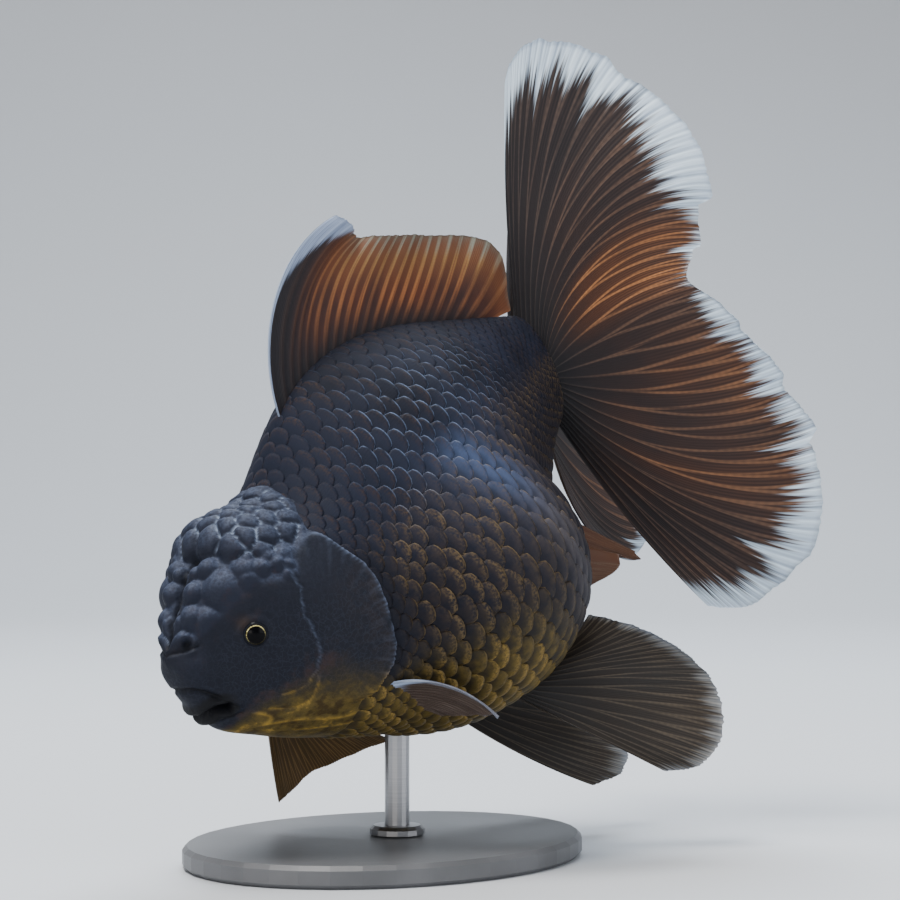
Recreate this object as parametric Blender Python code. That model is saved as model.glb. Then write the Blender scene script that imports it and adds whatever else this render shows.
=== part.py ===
"""Black oranda, a fancy goldfish: a still, life-size model that swims nose-down on a plain display stand.

Lengths are in millimetres and become metres where each mesh is made. The fish is modelled in its own frame:
x runs back from the snout, y to the fish's right, z up. The empty fish_pose tips that frame over the stand.
The part's frame has its origin under the middle of the base, with +Z up and the fish heading along -X.
An angle round the body is 0 on the back, 90 degrees on the left flank and -90 on the right.
"""

import math

import bmesh
import bpy
import numpy as np
from mathutils import Vector

MM = 0.001  # metres in a millimetre
GAP = 0.3  # clear space between pieces that meet

# ---- Pose over the stand -------------------------------------------------------------------------
PITCH = 24.9  # degrees nose-down
ROLL = -5.5  # degrees, right side down
SNOUT_AHEAD = 55.0  # of the fish frame's origin, from the middle of the base along -X
SNOUT_HEIGHT = 38.0  # of the same point, above the floor

# ---- Body ----------------------------------------------------------------------------------------
# Cross-sections from the snout to the tail root: x, height of the back, height of the belly line,
# half width, height of the widest point, and how square the back is (a superellipse power, 2 for round).
STATIONS = (
    (1.8, -3.0, -3.0, 0.0, -3.0, 2.0),
    (2.4, 0.2, -6.5, 1.9, -3.2, 2.0),
    (4.5, 3.2, -12.0, 3.7, -4.0, 2.1),
    (8.0, 6.8, -16.7, 6.0, -4.5, 2.3),
    (13.5, 11.0, -20.5, 10.7, -5.0, 2.5),
    (21.0, 13.4, -25.3, 15.9, -7.0, 2.5),
    (30.0, 13.8, -30.0, 18.5, -9.0, 2.2),
    (38.0, 18.5, -34.0, 20.5, -9.5, 1.8),
    (46.0, 25.5, -37.0, 22.0, -8.0, 1.6),
    (56.0, 29.8, -38.3, 24.0, -6.0, 1.6),
    (68.0, 30.5, -34.7, 23.5, -3.0, 1.6),
    (80.0, 28.2, -27.2, 19.5, 0.0, 1.7),
    (92.0, 24.0, -18.0, 13.0, 2.5, 1.8),
    (102.0, 20.3, -9.5, 8.0, 4.5, 1.9),
    (110.0, 17.3, -5.0, 5.0, 6.0, 2.0),
)
BELLY_POWER = 2.1  # how square the lower half of every section is
# The swollen belly is an ellipsoid that blends into the trunk.
BELLY_X, BELLY_Z = 63.0, -16.0
BELLY_LONG, BELLY_WIDE, BELLY_DEEP = 27.0, 32.8, 26.0
BELLY_BLEND = 7.0
HEAD_END, TRUNK_END = 34.0, 90.0  # where the body is cut into head, trunk and tail stem
SIDES = 32  # facets round the body

# ---- Growths and covers on the head --------------------------------------------------------------
# Each is a shell over the body's surface with an outline of (x, angle) for the fish's left side.
CROWN = ((17.0, 0), (17.4, 17), (18.6, 32), (24.0, 36.5), (31.0, 34.5), (33.2, 23), (34.6, 11), (35.2, 0))
BROW = ((5.0, 14), (7.0, 7), (11.0, 4), (15.2, 3.5), (16.4, 11), (16.6, 23), (16.9, 34),
        (13.0, 41), (9.4, 46), (6.6, 42), (4.9, 30))
CHEEK = ((24.4, 39.5), (22.6, 50), (21.3, 62), (20.4, 72), (20.8, 84), (20.2, 97), (18.4, 110), (16.6, 124),
         (13.4, 134), (10.0, 126), (8.0, 107), (7.2, 85), (7.6, 64), (9.6, 53.5), (13.6, 44), (18.6, 38.5))
GILL_COVER = ((26.0, 39.5), (31.5, 38), (34.0, 45), (36.0, 64), (35.6, 85), (35.0, 101), (33.6, 112),
              (30.0, 122), (25.0, 128), (20.5, 128), (20.6, 112), (22.4, 97), (23.0, 84), (22.4, 72),
              (23.4, 62), (24.6, 50))
CORE_INSET = 1.2  # the head's core is this much smaller under its shells
SHELL_GAP = 0.5  # between the core and a shell
SHELL_RIM = 0.6  # thickness at a shell's edge
CROWN_RISE, BROW_RISE, CHEEK_RISE, GILL_RISE = 2.3, -0.4, -0.8, -0.7  # at a shell's middle, beyond its rim
CROWN_LEAN = 0.3  # share by which the crown is thicker in front, and thinner behind
CROWN_POWER, SHELL_POWER = 2, 4  # how flat a shell's middle is
LOBE_SIZE, LOBE_RISE = 4.6, 0.5  # of the crown's rounded lobes

EYE_X, EYE_ANGLE = 13.9, 73.0
EYE_RADIUS, EYE_SINK = 3.0, 1.9  # the ball's centre lies EYE_SINK under the body's surface
NOSTRIL_X, NOSTRIL_ANGLE = 4.9, 47.0
NOSTRIL_RADIUS, NOSTRIL_TUBE, NOSTRIL_TURN = 1.25, 0.6, 230.0  # a curl's radius, thickness and turn

# A lip bends round the snout from corner to corner: (x, z) in front, (x, half width, z) at a corner,
# and its radii at the two.
UPPER_LIP = ((3.3, -7.0), (8.4, 5.5, -11.0), (1.6, 1.1))
LOWER_LIP = ((5.4, -12.3), (8.8, 4.7, -13.3), (1.5, 1.0))
MOUTH_CENTRE, MOUTH_SIZE = (4.4, 0.0, -9.7), (5.0, 5.0, 2.1)

# ---- Fins ----------------------------------------------------------------------------------------
# Each row is one ray, first ray first: where its foot is on the body (x, angle), how far it leans out to
# the left of straight back, how steeply it rises at its foot and at its tip, and its length. The rays
# between them are interpolated.
DORSAL = (
    (44.6, 0, 0, 88, -3, 45.0),
    (50.0, 0, 0, 74, 2, 37.0),
    (56.0, 0, 0, 72, 2, 30.0),
    (62.0, 0, 0, 60, 15, 25.5),
    (70.0, 0, 0, 48, 27, 22.0),
    (80.0, 0, 0, 35, 38, 20.3),
    (90.0, 0, 0, 30, 40, 19.6),
    (95.5, 0, 0, 18, 34, 17.0),
    (98.5, 0, 0, 5, 22, 11.8),
    (100.5, 0, 0, -4, -5, 7.5),
)
PECTORAL_LEFT = (
    (28.5, 133, 48, 8, -74, 24.5),
    (29.3, 136, 40, 0, -66, 23.0),
    (30.0, 139, 32, -8, -60, 20.0),
    (30.6, 142, 24, -15, -55, 16.0),
    (31.2, 145, 16, -22, -50, 12.5),
)
PECTORAL_RIGHT = (
    (28.5, -132, -82, -60, -70, 24.5),
    (29.0, -134, -68, -58, -66, 23.5),
    (29.5, -136, -42, -52, -62, 22.5),
    (30.0, -138, -22, -48, -58, 23.0),
    (30.6, -141, -8, -42, -48, 25.0),
    (31.2, -144, 0, -40, -45, 26.0),
)
PELVIC_LEFT = (
    (62.0, 163, 34, -50, -51, 34.0),
    (63.6, 164.5, 34, -41, -43, 41.0),
    (65.0, 165.5, 34, -25, -33, 41.5),
    (66.5, 167, 34, -11, -26, 35.5),
    (68.0, 168.5, 34, -5, -3, 26.0),
    (70.0, 170, 32, -7, 40, 17.0),
)
PELVIC_RIGHT = (
    (62.0, -163, 15, -60, -43, 46.0),
    (64.0, -164.5, 11, -50, -38, 46.0),
    (66.0, -166, 5, -38, -28, 43.0),
    (68.0, -167.5, -3, -22, -14, 34.0),
    (70.0, -169, -10, -8, 12, 21.0),
)
ANAL_LEFT = (
    (86.0, 175, 17, -35, -20, 10.5),
    (89.0, 174.5, 18, -43, -29, 18.5),
    (92.0, 174, 19, -49, -40, 25.0),
    (95.0, 173, 19, -52, -47, 28.5),
)
ANAL_RIGHT = (
    (86.0, -175, -7, -44, -32, 17.0),
    (89.0, -174.5, -8, -48, -40, 20.0),
    (92.0, -174, -9, -50, -46, 21.0),
    (95.0, -173, -10, -52, -50, 18.0),
)
TAIL_FOOT = 109.0  # x of the tail rays' feet, inside the stem
TAIL_LEFT = (
    (5, 4, 71, 59, 45.5),
    (14, 10, 69, 57, 54.5),
    (36, 22, 72, 23, 58.5),
    (60, 30, 72, -15, 54.5),
    (73, 37, 62, -34, 44.5),
    (86, 42, 30, -12, 33.5),
    (106, 44, -18, -1, 39.5),
    (121, 46, -53, 3, 50.5),
    (141, 48, -70, -8, 58.5),
    (158, 51, -72, -52, 56.5),
    (170, 52, -79, -65, 48.0),
)
TAIL_RIGHT = (
    (-6, -3, 60, 48, 43.0),
    (-15, -7, 58, 44, 49.0),
    (-36, -16, 58, 16, 51.0),
    (-60, -22, 50, -12, 48.0),
    (-73, -25, 38, -20, 40.0),
    (-86, -27, 18, -12, 33.0),
    (-106, -27, -22, -6, 38.0),
    (-121, -25, -50, -10, 46.0),
    (-141, -22, -82, -14, 54.0),
    (-158, -19, -104, -16, 49.5),
    (-170, -16, -118, -18, 44.5),
)
NOTCH = 0.5  # how far round a tail half its two lobes part
NOTCH_HALF = 0.006  # of the same, left free on each side of the parting
FIN_ROOT, FIN_TIP = 1.3, 0.7  # thicknesses
FOOT_DEPTH = 1.5  # how deep a ray's foot lies in the body before the body is cut out of the fin

# ---- Stand ---------------------------------------------------------------------------------------
BASE_LONG, BASE_WIDE, BASE_HIGH = 40.0, 32.0, 4.0  # half axes of the oval base, and its height
BASE_EDGE = 0.8  # rounding of the base's rims
ROD_X, ROD_RADIUS, ROD_TOP = 3.0, 2.25, 27.0
ROD_FOOT_RADIUS, ROD_FOOT_HIGH = 5.0, 1.6

BLACK = (0.016, 0.018, 0.026)
GREY = (0.035, 0.038, 0.052)
GOLD = (0.35, 0.2, 0.04)
BROWN = (0.09, 0.032, 0.016)
PALE = (0.45, 0.5, 0.6)
STAND_GREY = (0.12, 0.12, 0.125)
STEEL = (0.56, 0.56, 0.57)


# ---- The body's surface --------------------------------------------------------------------------
def natural_spline(values):
    """A function of t in 0..len-1 that runs smoothly through values, one row for each whole t."""
    values = np.asarray(values, float)
    count = len(values)
    system, right = np.eye(count), np.zeros_like(values)
    for i in range(1, count - 1):
        system[i, i - 1 : i + 2] = (1, 4, 1)
        right[i] = 6 * (values[i - 1] - 2 * values[i] + values[i + 1])
    bends = np.linalg.solve(system, right)

    def at(t):
        t = np.clip(np.asarray(t, float), 0, count - 1)
        i = np.minimum(t.astype(int), count - 2)
        b = (t - i)[(...,) + (None,) * (values.ndim - 1)]
        a = 1 - b
        return a * values[i] + b * values[i + 1] + ((a**3 - a) * bends[i] + (b**3 - b) * bends[i + 1]) / 6

    return at


station = natural_spline(STATIONS)
LAST_STATION = len(STATIONS) - 1.0
STATION_NUMBERS = np.linspace(0, LAST_STATION, 1401)
STATION_PLACES = station(STATION_NUMBERS)[:, 0]


def station_at(x):
    """The station number at a distance behind the snout."""
    return np.interp(x, STATION_PLACES, STATION_NUMBERS)


def belly_radius(x, axis_z, side, up):
    """How far the belly ellipsoid reaches from the body's axis in the direction (side, up)."""
    share = np.sqrt(np.clip(1 - ((x - BELLY_X) / BELLY_LONG) ** 2, 1e-9, 1))
    wide, deep = BELLY_WIDE * share, BELLY_DEEP * share
    rise = axis_z - BELLY_Z
    a = (side / wide) ** 2 + (up / deep) ** 2
    b = rise * up / deep**2
    c = (rise / deep) ** 2 - 1
    inside = b * b - a * c
    reach = (np.sqrt(np.maximum(inside, 0)) - b) / a
    return np.where((inside > 0) & (np.abs(x - BELLY_X) < BELLY_LONG), np.maximum(reach, 0), 0)


def body_point(x, angle):
    """A point of the body's surface."""
    x, angle = np.broadcast_arrays(np.asarray(x, float), np.asarray(angle, float))
    place, back, belly, half, widest, back_power = np.moveaxis(station(station_at(x)), -1, 0)
    side, up = np.sin(angle), np.cos(angle)
    height = np.maximum(np.where(up > 0, back - widest, widest - belly), 1e-6)
    power = np.where(up > 0, back_power, BELLY_POWER)
    radius = (np.abs(side / np.maximum(half, 1e-6)) ** power + np.abs(up / height) ** power) ** (-1 / power)
    swollen = belly_radius(place, widest, side, up)
    blend = np.clip(1 - np.abs(radius - swollen) / BELLY_BLEND, 0, 1)
    radius = np.maximum(radius, swollen) + BELLY_BLEND * blend**2 / 4
    return np.stack([place, -radius * side, widest + radius * up], -1)


def body_normal(x, angle):
    """The outward unit normal at body_point."""
    step = 0.02
    first, last = STATION_PLACES[0], STATION_PLACES[-1]
    along = body_point(np.minimum(x + step, last), angle) - body_point(np.maximum(x - step, first), angle)
    around = body_point(x, angle + step) - body_point(x, angle - step)
    normal = np.cross(around, along)
    return normal / np.maximum(np.linalg.norm(normal, axis=-1, keepdims=True), 1e-12)


def smooth_step(low, high, value):
    share = np.clip((value - low) / (high - low), 0, 1)
    return share * share * (3 - 2 * share)


def inset(x, angle):
    """How much smaller the head's core is than the body's surface."""
    off_back = np.abs(np.degrees(angle))
    along = smooth_step(3, 8, x) * (1 - smooth_step(24, 34, x))
    return CORE_INSET * along * (1 - smooth_step(120, 140, off_back))


# ---- Making objects ------------------------------------------------------------------------------
def new_object(name, points, faces, colour, roughness, parent):
    """A smooth mesh object from points in millimetres, with its own material."""
    mesh = bpy.data.meshes.new(name)
    places = np.asarray(points, float).reshape(-1, 3) * MM
    mesh.from_pydata(places.tolist(), [], [tuple(face) for face in faces])
    return finish_object(bpy.data.objects.new(name, mesh), colour, roughness, parent)


def finish_object(obj, colour, roughness, parent=None, metallic=0.0):
    """Links the object, turns its faces outwards, shades it smooth and gives it a material of its own."""
    shape = bmesh.new()
    shape.from_mesh(obj.data)
    bmesh.ops.recalc_face_normals(shape, faces=shape.faces)
    shape.to_mesh(obj.data)
    shape.free()
    obj.data.shade_smooth()
    obj.data.set_sharp_from_angle(angle=math.radians(50))
    obj.parent = parent
    bpy.context.scene.collection.objects.link(obj)
    material = bpy.data.materials.new(obj.name)
    material.use_nodes = True
    shader = material.node_tree.nodes["Principled BSDF"]
    shader.inputs["Base Color"].default_value = (*colour, 1)
    shader.inputs["Roughness"].default_value = roughness
    shader.inputs["Metallic"].default_value = metallic
    obj.data.materials.append(material)
    return obj


def cut(obj, cutter):
    """Takes the cutter's shape out of obj."""
    modifier = obj.modifiers.new(f"cut_{cutter.name}", "BOOLEAN")
    modifier.operation = "DIFFERENCE"
    modifier.solver = "EXACT"
    modifier.object = cutter


def as_cutter(obj):
    obj.hide_render = True
    obj.display_type = "WIRE"
    return obj


def body_length(name, first, last, rings, colour, parent, grow=0.0, core=False):
    """A length of the body as one solid with flat ends, grown by grow all over."""
    xs = np.interp(np.linspace(0, 1, rings), [0, 1], [station_at(first), station_at(last)])
    xs = np.interp(xs, STATION_NUMBERS, STATION_PLACES)[:, None]
    angles = np.linspace(0, 2 * math.pi, SIDES, endpoint=False)[None, :]
    points = body_point(xs, angles)
    if core:
        signed = (angles + math.pi) % (2 * math.pi) - math.pi
        points = points - body_normal(xs, angles) * inset(xs, signed)[..., None]
    if grow:
        points = points + body_normal(xs, angles) * grow
        points[-1, :, 0] = last + grow
    index = np.arange(rings * SIDES).reshape(rings, SIDES)
    faces = [index[0], index[-1]]
    for i in range(rings - 1):
        for j in range(SIDES):
            k = (j + 1) % SIDES
            faces.append((index[i, j], index[i, k], index[i + 1, k], index[i + 1, j]))
    return new_object(name, points, faces, colour, 0.45, parent)


def shell(name, outline, side, rise, grid, colour, parent, power=SHELL_POWER, lean=0.0, lobes=False):
    """A plate over the head: rings from its middle to its outline, thin at the rim, risen in the middle."""
    rings, spokes = grid
    outline = np.asarray(outline, float)
    closed = natural_spline(np.vstack([outline[-3:], outline, outline[:3]]))
    edge = closed(3 + np.linspace(0, len(outline), spokes, endpoint=False))
    middle = (outline.max(0) + outline.min(0)) / 2
    reach = np.linspace(0, 1, rings + 1)[1:, None, None]
    places = np.concatenate([middle[None], (middle + (edge - middle) * reach).reshape(-1, 2)])
    share = np.concatenate([[0], np.repeat(reach.ravel(), spokes)])
    x, angle = places[:, 0], np.radians(places[:, 1])
    surface, normal = body_point(x, angle), body_normal(x, angle)
    low = SHELL_GAP - inset(x, angle)
    ahead = (middle[0] - x) / np.ptp(outline[:, 0]) * 2
    dome = np.maximum(rise + inset(x, angle), 0) * (1 - share**power)
    high = low + (SHELL_RIM + dome) * (1 + lean * ahead)
    if lobes:
        across = surface[:, 1] / LOBE_SIZE
        along = x / LOBE_SIZE + 0.5 * np.floor(across)
        waves = np.abs(np.sin(math.pi * across) * np.sin(math.pi * along))
        high = high + LOBE_RISE * np.sqrt(waves) * (share < 1)
    points = np.concatenate([surface + normal * low[:, None], surface + normal * high[:, None]])
    points[:, 1] *= side
    count = len(places)
    index = 1 + np.arange(rings * spokes).reshape(rings, spokes)
    faces = []
    for j in range(spokes):
        k = (j + 1) % spokes
        for base in (0, count):
            faces.append((base, base + index[0, j], base + index[0, k]))
            for i in range(rings - 1):
                corners = (index[i, j], index[i + 1, j], index[i + 1, k], index[i, k])
                faces.append(tuple(base + n for n in corners))
        faces.append((index[-1, j], index[-1, k], count + index[-1, k], count + index[-1, j]))
    return new_object(name, points, faces, colour, 0.5, parent)


def mirrored(outline):
    """A left outline that starts and ends on the middle line, continued over the right side."""
    return outline + tuple((x, -angle) for x, angle in reversed(outline[1:-1]))


def tube(name, path, radii, sides, colour, parent, roughness=0.45):
    """A closed tube along path with a radius at each point."""
    path, radii = np.asarray(path, float), np.asarray(radii, float)
    ahead = np.gradient(path, axis=0)
    ahead /= np.linalg.norm(ahead, axis=1, keepdims=True)
    level = np.cross(ahead, np.cross(path[0] - path[-1], path[len(path) // 2] - path[0]))
    level /= np.linalg.norm(level, axis=1, keepdims=True)
    upright = np.cross(ahead, level)
    turn = np.linspace(0, 2 * math.pi, sides, endpoint=False)[None, :, None]
    around = np.cos(turn) * level[:, None] + np.sin(turn) * upright[:, None]
    points = path[:, None] + radii[:, None, None] * around
    index = np.arange(len(path) * sides).reshape(len(path), sides)
    faces = [index[0], index[-1]]
    for i in range(len(path) - 1):
        for j in range(sides):
            k = (j + 1) % sides
            faces.append((index[i, j], index[i, k], index[i + 1, k], index[i + 1, j]))
    return new_object(name, points, faces, colour, roughness, parent)


# ---- Body and head -------------------------------------------------------------------------------
def lip_path(lip, count=10):
    (front_x, front_z), (corner_x, corner_y, corner_z), radii = lip
    turn = np.linspace(-math.pi / 2, math.pi / 2, count)
    share = 1 - np.cos(turn)
    path = np.stack([
        front_x + (corner_x - front_x) * share,
        corner_y * np.sin(turn),
        front_z + (corner_z - front_z) * share,
    ], -1)
    return path, radii[0] + (radii[1] - radii[0]) * share


def ball(name, centre, radius, segments, rings, colour, parent, roughness=0.08, stretch=(1, 1, 1)):
    shape = bmesh.new()
    bmesh.ops.create_uvsphere(shape, u_segments=segments, v_segments=rings, radius=radius * MM)
    bmesh.ops.scale(shape, verts=shape.verts, vec=stretch)
    mesh = bpy.data.meshes.new(name)
    shape.to_mesh(mesh)
    shape.free()
    obj = finish_object(bpy.data.objects.new(name, mesh), colour, roughness, parent)
    obj.location = Vector(centre) * MM
    return obj


def eye_centre(side):
    angle = math.radians(EYE_ANGLE)
    centre = body_point(EYE_X, angle) - body_normal(EYE_X, angle) * EYE_SINK
    return centre * (1, side, 1)


def make_eyes(fish):
    """Both eyes, and the balls that hollow their sockets."""
    sockets = {}
    for word, side in (("left", 1), ("right", -1)):
        ball(f"eye_{word}", eye_centre(side), EYE_RADIUS, 14, 8, BLACK, fish)
        socket = ball(f"socket_{word}", eye_centre(side), EYE_RADIUS + GAP, 14, 8, BLACK, fish)
        sockets[side] = as_cutter(socket)
    return sockets


def make_mouth(fish, head):
    """The two lips, and the hollows for them and for the open mouth."""
    for word, lip in (("upper", UPPER_LIP), ("lower", LOWER_LIP)):
        path, radii = lip_path(lip)
        tube(f"{word}_lip", path, radii, 8, BLACK, fish)
        cut(head, as_cutter(tube(f"{word}_lip_bed", path, radii + GAP, 8, BLACK, fish)))
    long, wide, high = MOUTH_SIZE
    stretch = (long / high, wide / high, 1)
    opening = ball("mouth_opening", MOUTH_CENTRE, high, 12, 6, BLACK, fish, stretch=stretch)
    cut(head, as_cutter(opening))


def make_nostril(word, side, fish):
    """A curled flap of skin that stands round the nostril."""
    angle = math.radians(NOSTRIL_ANGLE)
    normal = body_normal(NOSTRIL_X, angle)
    rise = NOSTRIL_TUBE + GAP + 0.25 - inset(NOSTRIL_X, angle)
    centre = body_point(NOSTRIL_X, angle) + normal * rise
    across = np.cross(normal, (0, 0, 1.0))
    across /= np.linalg.norm(across)
    over = np.cross(across, normal)
    turn = np.radians(np.linspace(-NOSTRIL_TURN / 2, NOSTRIL_TURN / 2, 7) + 200)[:, None]
    path = centre + NOSTRIL_RADIUS * (np.cos(turn) * across + np.sin(turn) * over)
    radii = NOSTRIL_TUBE * (0.7 + 0.3 * np.sin(np.linspace(0, math.pi, 7)))
    tube(f"nostril_{word}", path * (1, side, 1), radii, 6, GREY, fish)


def make_head(fish):
    head = body_length("head", STATION_PLACES[0] + 0.05, HEAD_END, 14, BLACK, fish, core=True)
    sockets = make_eyes(fish)
    make_mouth(fish, head)
    crown = mirrored(CROWN)
    shell("wen_crown", crown, 1, CROWN_RISE, (6, 24), GREY, fish, CROWN_POWER, CROWN_LEAN, lobes=True)
    for word, side in (("left", 1), ("right", -1)):
        shell(f"wen_brow_{word}", BROW, side, BROW_RISE, (3, 14), GREY, fish)
        cheek = shell(f"cheek_{word}", CHEEK, side, CHEEK_RISE, (3, 20), BLACK, fish)
        shell(f"gill_cover_{word}", GILL_COVER, side, GILL_RISE, (3, 22), BLACK, fish)
        make_nostril(word, side, fish)
        cut(cheek, sockets[side])
        cut(head, sockets[side])


def make_body(fish):
    body_length("trunk", HEAD_END + GAP, TRUNK_END, 15, BLACK, fish)
    body_length("tail_stem", TRUNK_END + GAP, STATION_PLACES[-1], 6, BLACK, fish)


# ---- Fins ----------------------------------------------------------------------------------------
def fan(rows, across, along, ripples=0, ripple=0.0, first=0.0, last=1.0):
    """The middle surface of a fin: a grid of points, one row of them for each ray."""
    table = natural_spline(rows)
    shares = np.linspace(first, last, across + 1)
    x, angle, out, rise_foot, rise_tip, length = table(shares * (len(rows) - 1)).T
    angle, rise_foot, rise_tip = np.radians(angle), np.radians(rise_foot), np.radians(rise_tip)
    foot = body_point(x, angle) - body_normal(x, angle) * FOOT_DEPTH
    reach = np.linspace(0, 1, along + 1)[None, :]
    bend = rise_tip - rise_foot
    bend = np.where(np.abs(bend) < 1e-3, 1e-3, bend)[:, None]
    rise_foot = rise_foot[:, None]
    back = (np.sin(rise_foot + bend * reach) - np.sin(rise_foot)) / bend
    up = (np.cos(rise_foot) - np.cos(rise_foot + bend * reach)) / bend
    sway = ripple * reach * np.sin(2 * math.pi * ripples * shares)[:, None]
    lean = np.radians(out)[:, None] + np.radians(sway)
    path = np.stack([back * np.cos(lean), -back * np.sin(lean), up], -1)
    return foot[:, None, :] + path * (length + FOOT_DEPTH)[:, None, None]


def fin(name, middle, body_cutter, colour, parent):
    """A slab over the fin's middle surface, thinner to its margin, with the body cut out of it."""
    across, along = middle.shape[0] - 1, middle.shape[1] - 1
    normal = np.cross(np.gradient(middle, axis=0), np.gradient(middle, axis=1))
    normal /= np.maximum(np.linalg.norm(normal, axis=-1, keepdims=True), 1e-9)
    half = np.linspace(FIN_ROOT, FIN_TIP, along + 1)[None, :, None] / 2
    points = np.stack([middle + normal * half, middle - normal * half]).reshape(-1, 3)
    index = np.arange((across + 1) * (along + 1)).reshape(across + 1, along + 1)
    count = index.size
    faces = []
    for base in (0, count):
        for i in range(across):
            for j in range(along):
                corners = (index[i, j], index[i + 1, j], index[i + 1, j + 1], index[i, j + 1])
                faces.append(tuple(base + n for n in corners))
    rim = np.concatenate([index[:, 0], index[-1, 1:], index[-2::-1, -1], index[0, -2:0:-1]])
    for a, b in zip(rim, np.roll(rim, -1)):
        faces.append((a, b, count + b, count + a))
    cut(new_object(name, points, faces, colour, 0.55, parent), body_cutter)


def make_fins(fish, body_cutter):
    fin("dorsal_fin", fan(DORSAL, 16, 4, ripples=3, ripple=2.5), body_cutter, BROWN, fish)
    fin("pectoral_fin_left", fan(PECTORAL_LEFT, 8, 5), body_cutter, BROWN, fish)
    fin("pectoral_fin_right", fan(PECTORAL_RIGHT, 10, 4), body_cutter, BROWN, fish)
    fin("pelvic_fin_left", fan(PELVIC_LEFT, 10, 5, ripples=1.5, ripple=5), body_cutter, BROWN, fish)
    fin("pelvic_fin_right", fan(PELVIC_RIGHT, 9, 5, ripples=1.5, ripple=4), body_cutter, BROWN, fish)
    fin("anal_fin_left", fan(ANAL_LEFT, 6, 3), body_cutter, BROWN, fish)
    fin("anal_fin_right", fan(ANAL_RIGHT, 6, 3), body_cutter, BROWN, fish)
    for word, rows in (("left", TAIL_LEFT), ("right", TAIL_RIGHT)):
        rays = tuple((TAIL_FOOT, *row) for row in rows)
        upper = fan(rays, 10, 6, ripples=4, ripple=3.5, last=NOTCH - NOTCH_HALF)
        lower = fan(rays, 10, 6, ripples=4, ripple=3.5, first=NOTCH + NOTCH_HALF)
        fin(f"tail_{word}_upper", upper, body_cutter, BROWN, fish)
        fin(f"tail_{word}_lower", lower, body_cutter, BROWN, fish)


# ---- Stand ---------------------------------------------------------------------------------------
def make_base():
    """An oval plate with rounded rims."""
    shape = bmesh.new()
    bmesh.ops.create_cone(shape, cap_ends=True, segments=40, radius1=MM, radius2=MM, depth=BASE_HIGH * MM)
    bmesh.ops.scale(shape, verts=shape.verts, vec=(BASE_LONG, BASE_WIDE, 1))
    mesh = bpy.data.meshes.new("stand_base")
    shape.to_mesh(mesh)
    shape.free()
    base = finish_object(bpy.data.objects.new("stand_base", mesh), STAND_GREY, 0.4)
    base.location = (0, 0, BASE_HIGH / 2 * MM)
    bevel = base.modifiers.new("rim", "BEVEL")
    bevel.width, bevel.segments, bevel.limit_method = BASE_EDGE * MM, 1, "ANGLE"


def make_rod(body_cutter):
    """A turned rod with a flat foot, its top shaped to the belly."""
    foot = BASE_HIGH + GAP
    profile = ((0, foot), (ROD_FOOT_RADIUS, foot), (ROD_FOOT_RADIUS, foot + ROD_FOOT_HIGH * 0.6),
               (ROD_FOOT_RADIUS - 0.7, foot + ROD_FOOT_HIGH), (ROD_RADIUS, foot + ROD_FOOT_HIGH),
               (ROD_RADIUS, ROD_TOP), (0, ROD_TOP))
    shape = bmesh.new()
    verts = [shape.verts.new((ROD_X * MM + radius * MM, 0, z * MM)) for radius, z in profile]
    edges = [shape.edges.new(pair) for pair in zip(verts, verts[1:])]
    turn = {"cent": (ROD_X * MM, 0, 0), "axis": (0, 0, 1), "angle": 2 * math.pi, "steps": 16}
    bmesh.ops.spin(shape, geom=verts + edges, use_merge=True, **turn)
    bmesh.ops.remove_doubles(shape, verts=shape.verts, dist=1e-6)
    mesh = bpy.data.meshes.new("stand_rod")
    shape.to_mesh(mesh)
    shape.free()
    cut(finish_object(bpy.data.objects.new("stand_rod", mesh), STEEL, 0.25, metallic=1.0), body_cutter)


def main():
    for obj in list(bpy.data.objects):
        bpy.data.objects.remove(obj, do_unlink=True)
    fish = bpy.data.objects.new("fish_pose", None)
    bpy.context.scene.collection.objects.link(fish)
    fish.location = Vector((-SNOUT_AHEAD, 0, SNOUT_HEIGHT)) * MM
    fish.rotation_euler = (math.radians(ROLL), -math.radians(PITCH), 0)
    body_cutter = as_cutter(
        body_length("body_room", STATION_PLACES[0] + 0.05, STATION_PLACES[-1], 34, BLACK, fish, grow=GAP)
    )
    make_head(fish)
    make_body(fish)
    make_fins(fish, body_cutter)
    make_base()
    make_rod(body_cutter)


main()
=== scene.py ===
"""Black oranda on its display stand: skin, solid scales, rayed fins, eyes, materials, light and camera.

Lengths are in millimetres in the fish's own frame (x back from the snout, y to its right, z up). They become
metres in the row's frame in one place, to_row. An angle round the body is 0 on the back and 90 degrees on the
left flank.
"""

import math

import bpy
import numpy as np
from mathutils import Euler, Matrix, Vector


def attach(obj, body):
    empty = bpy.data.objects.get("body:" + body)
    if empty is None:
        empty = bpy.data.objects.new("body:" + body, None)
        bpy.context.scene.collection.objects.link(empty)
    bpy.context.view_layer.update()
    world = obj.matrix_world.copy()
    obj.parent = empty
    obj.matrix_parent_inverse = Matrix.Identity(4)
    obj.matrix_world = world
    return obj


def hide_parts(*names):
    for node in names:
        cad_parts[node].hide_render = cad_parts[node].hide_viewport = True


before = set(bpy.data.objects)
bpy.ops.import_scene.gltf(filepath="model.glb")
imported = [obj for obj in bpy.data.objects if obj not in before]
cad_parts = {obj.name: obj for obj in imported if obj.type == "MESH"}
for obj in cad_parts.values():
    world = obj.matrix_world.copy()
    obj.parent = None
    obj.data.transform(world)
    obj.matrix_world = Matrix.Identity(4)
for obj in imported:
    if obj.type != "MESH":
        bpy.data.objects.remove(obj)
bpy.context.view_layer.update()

MM = 0.001
rng = np.random.default_rng(7)

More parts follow.
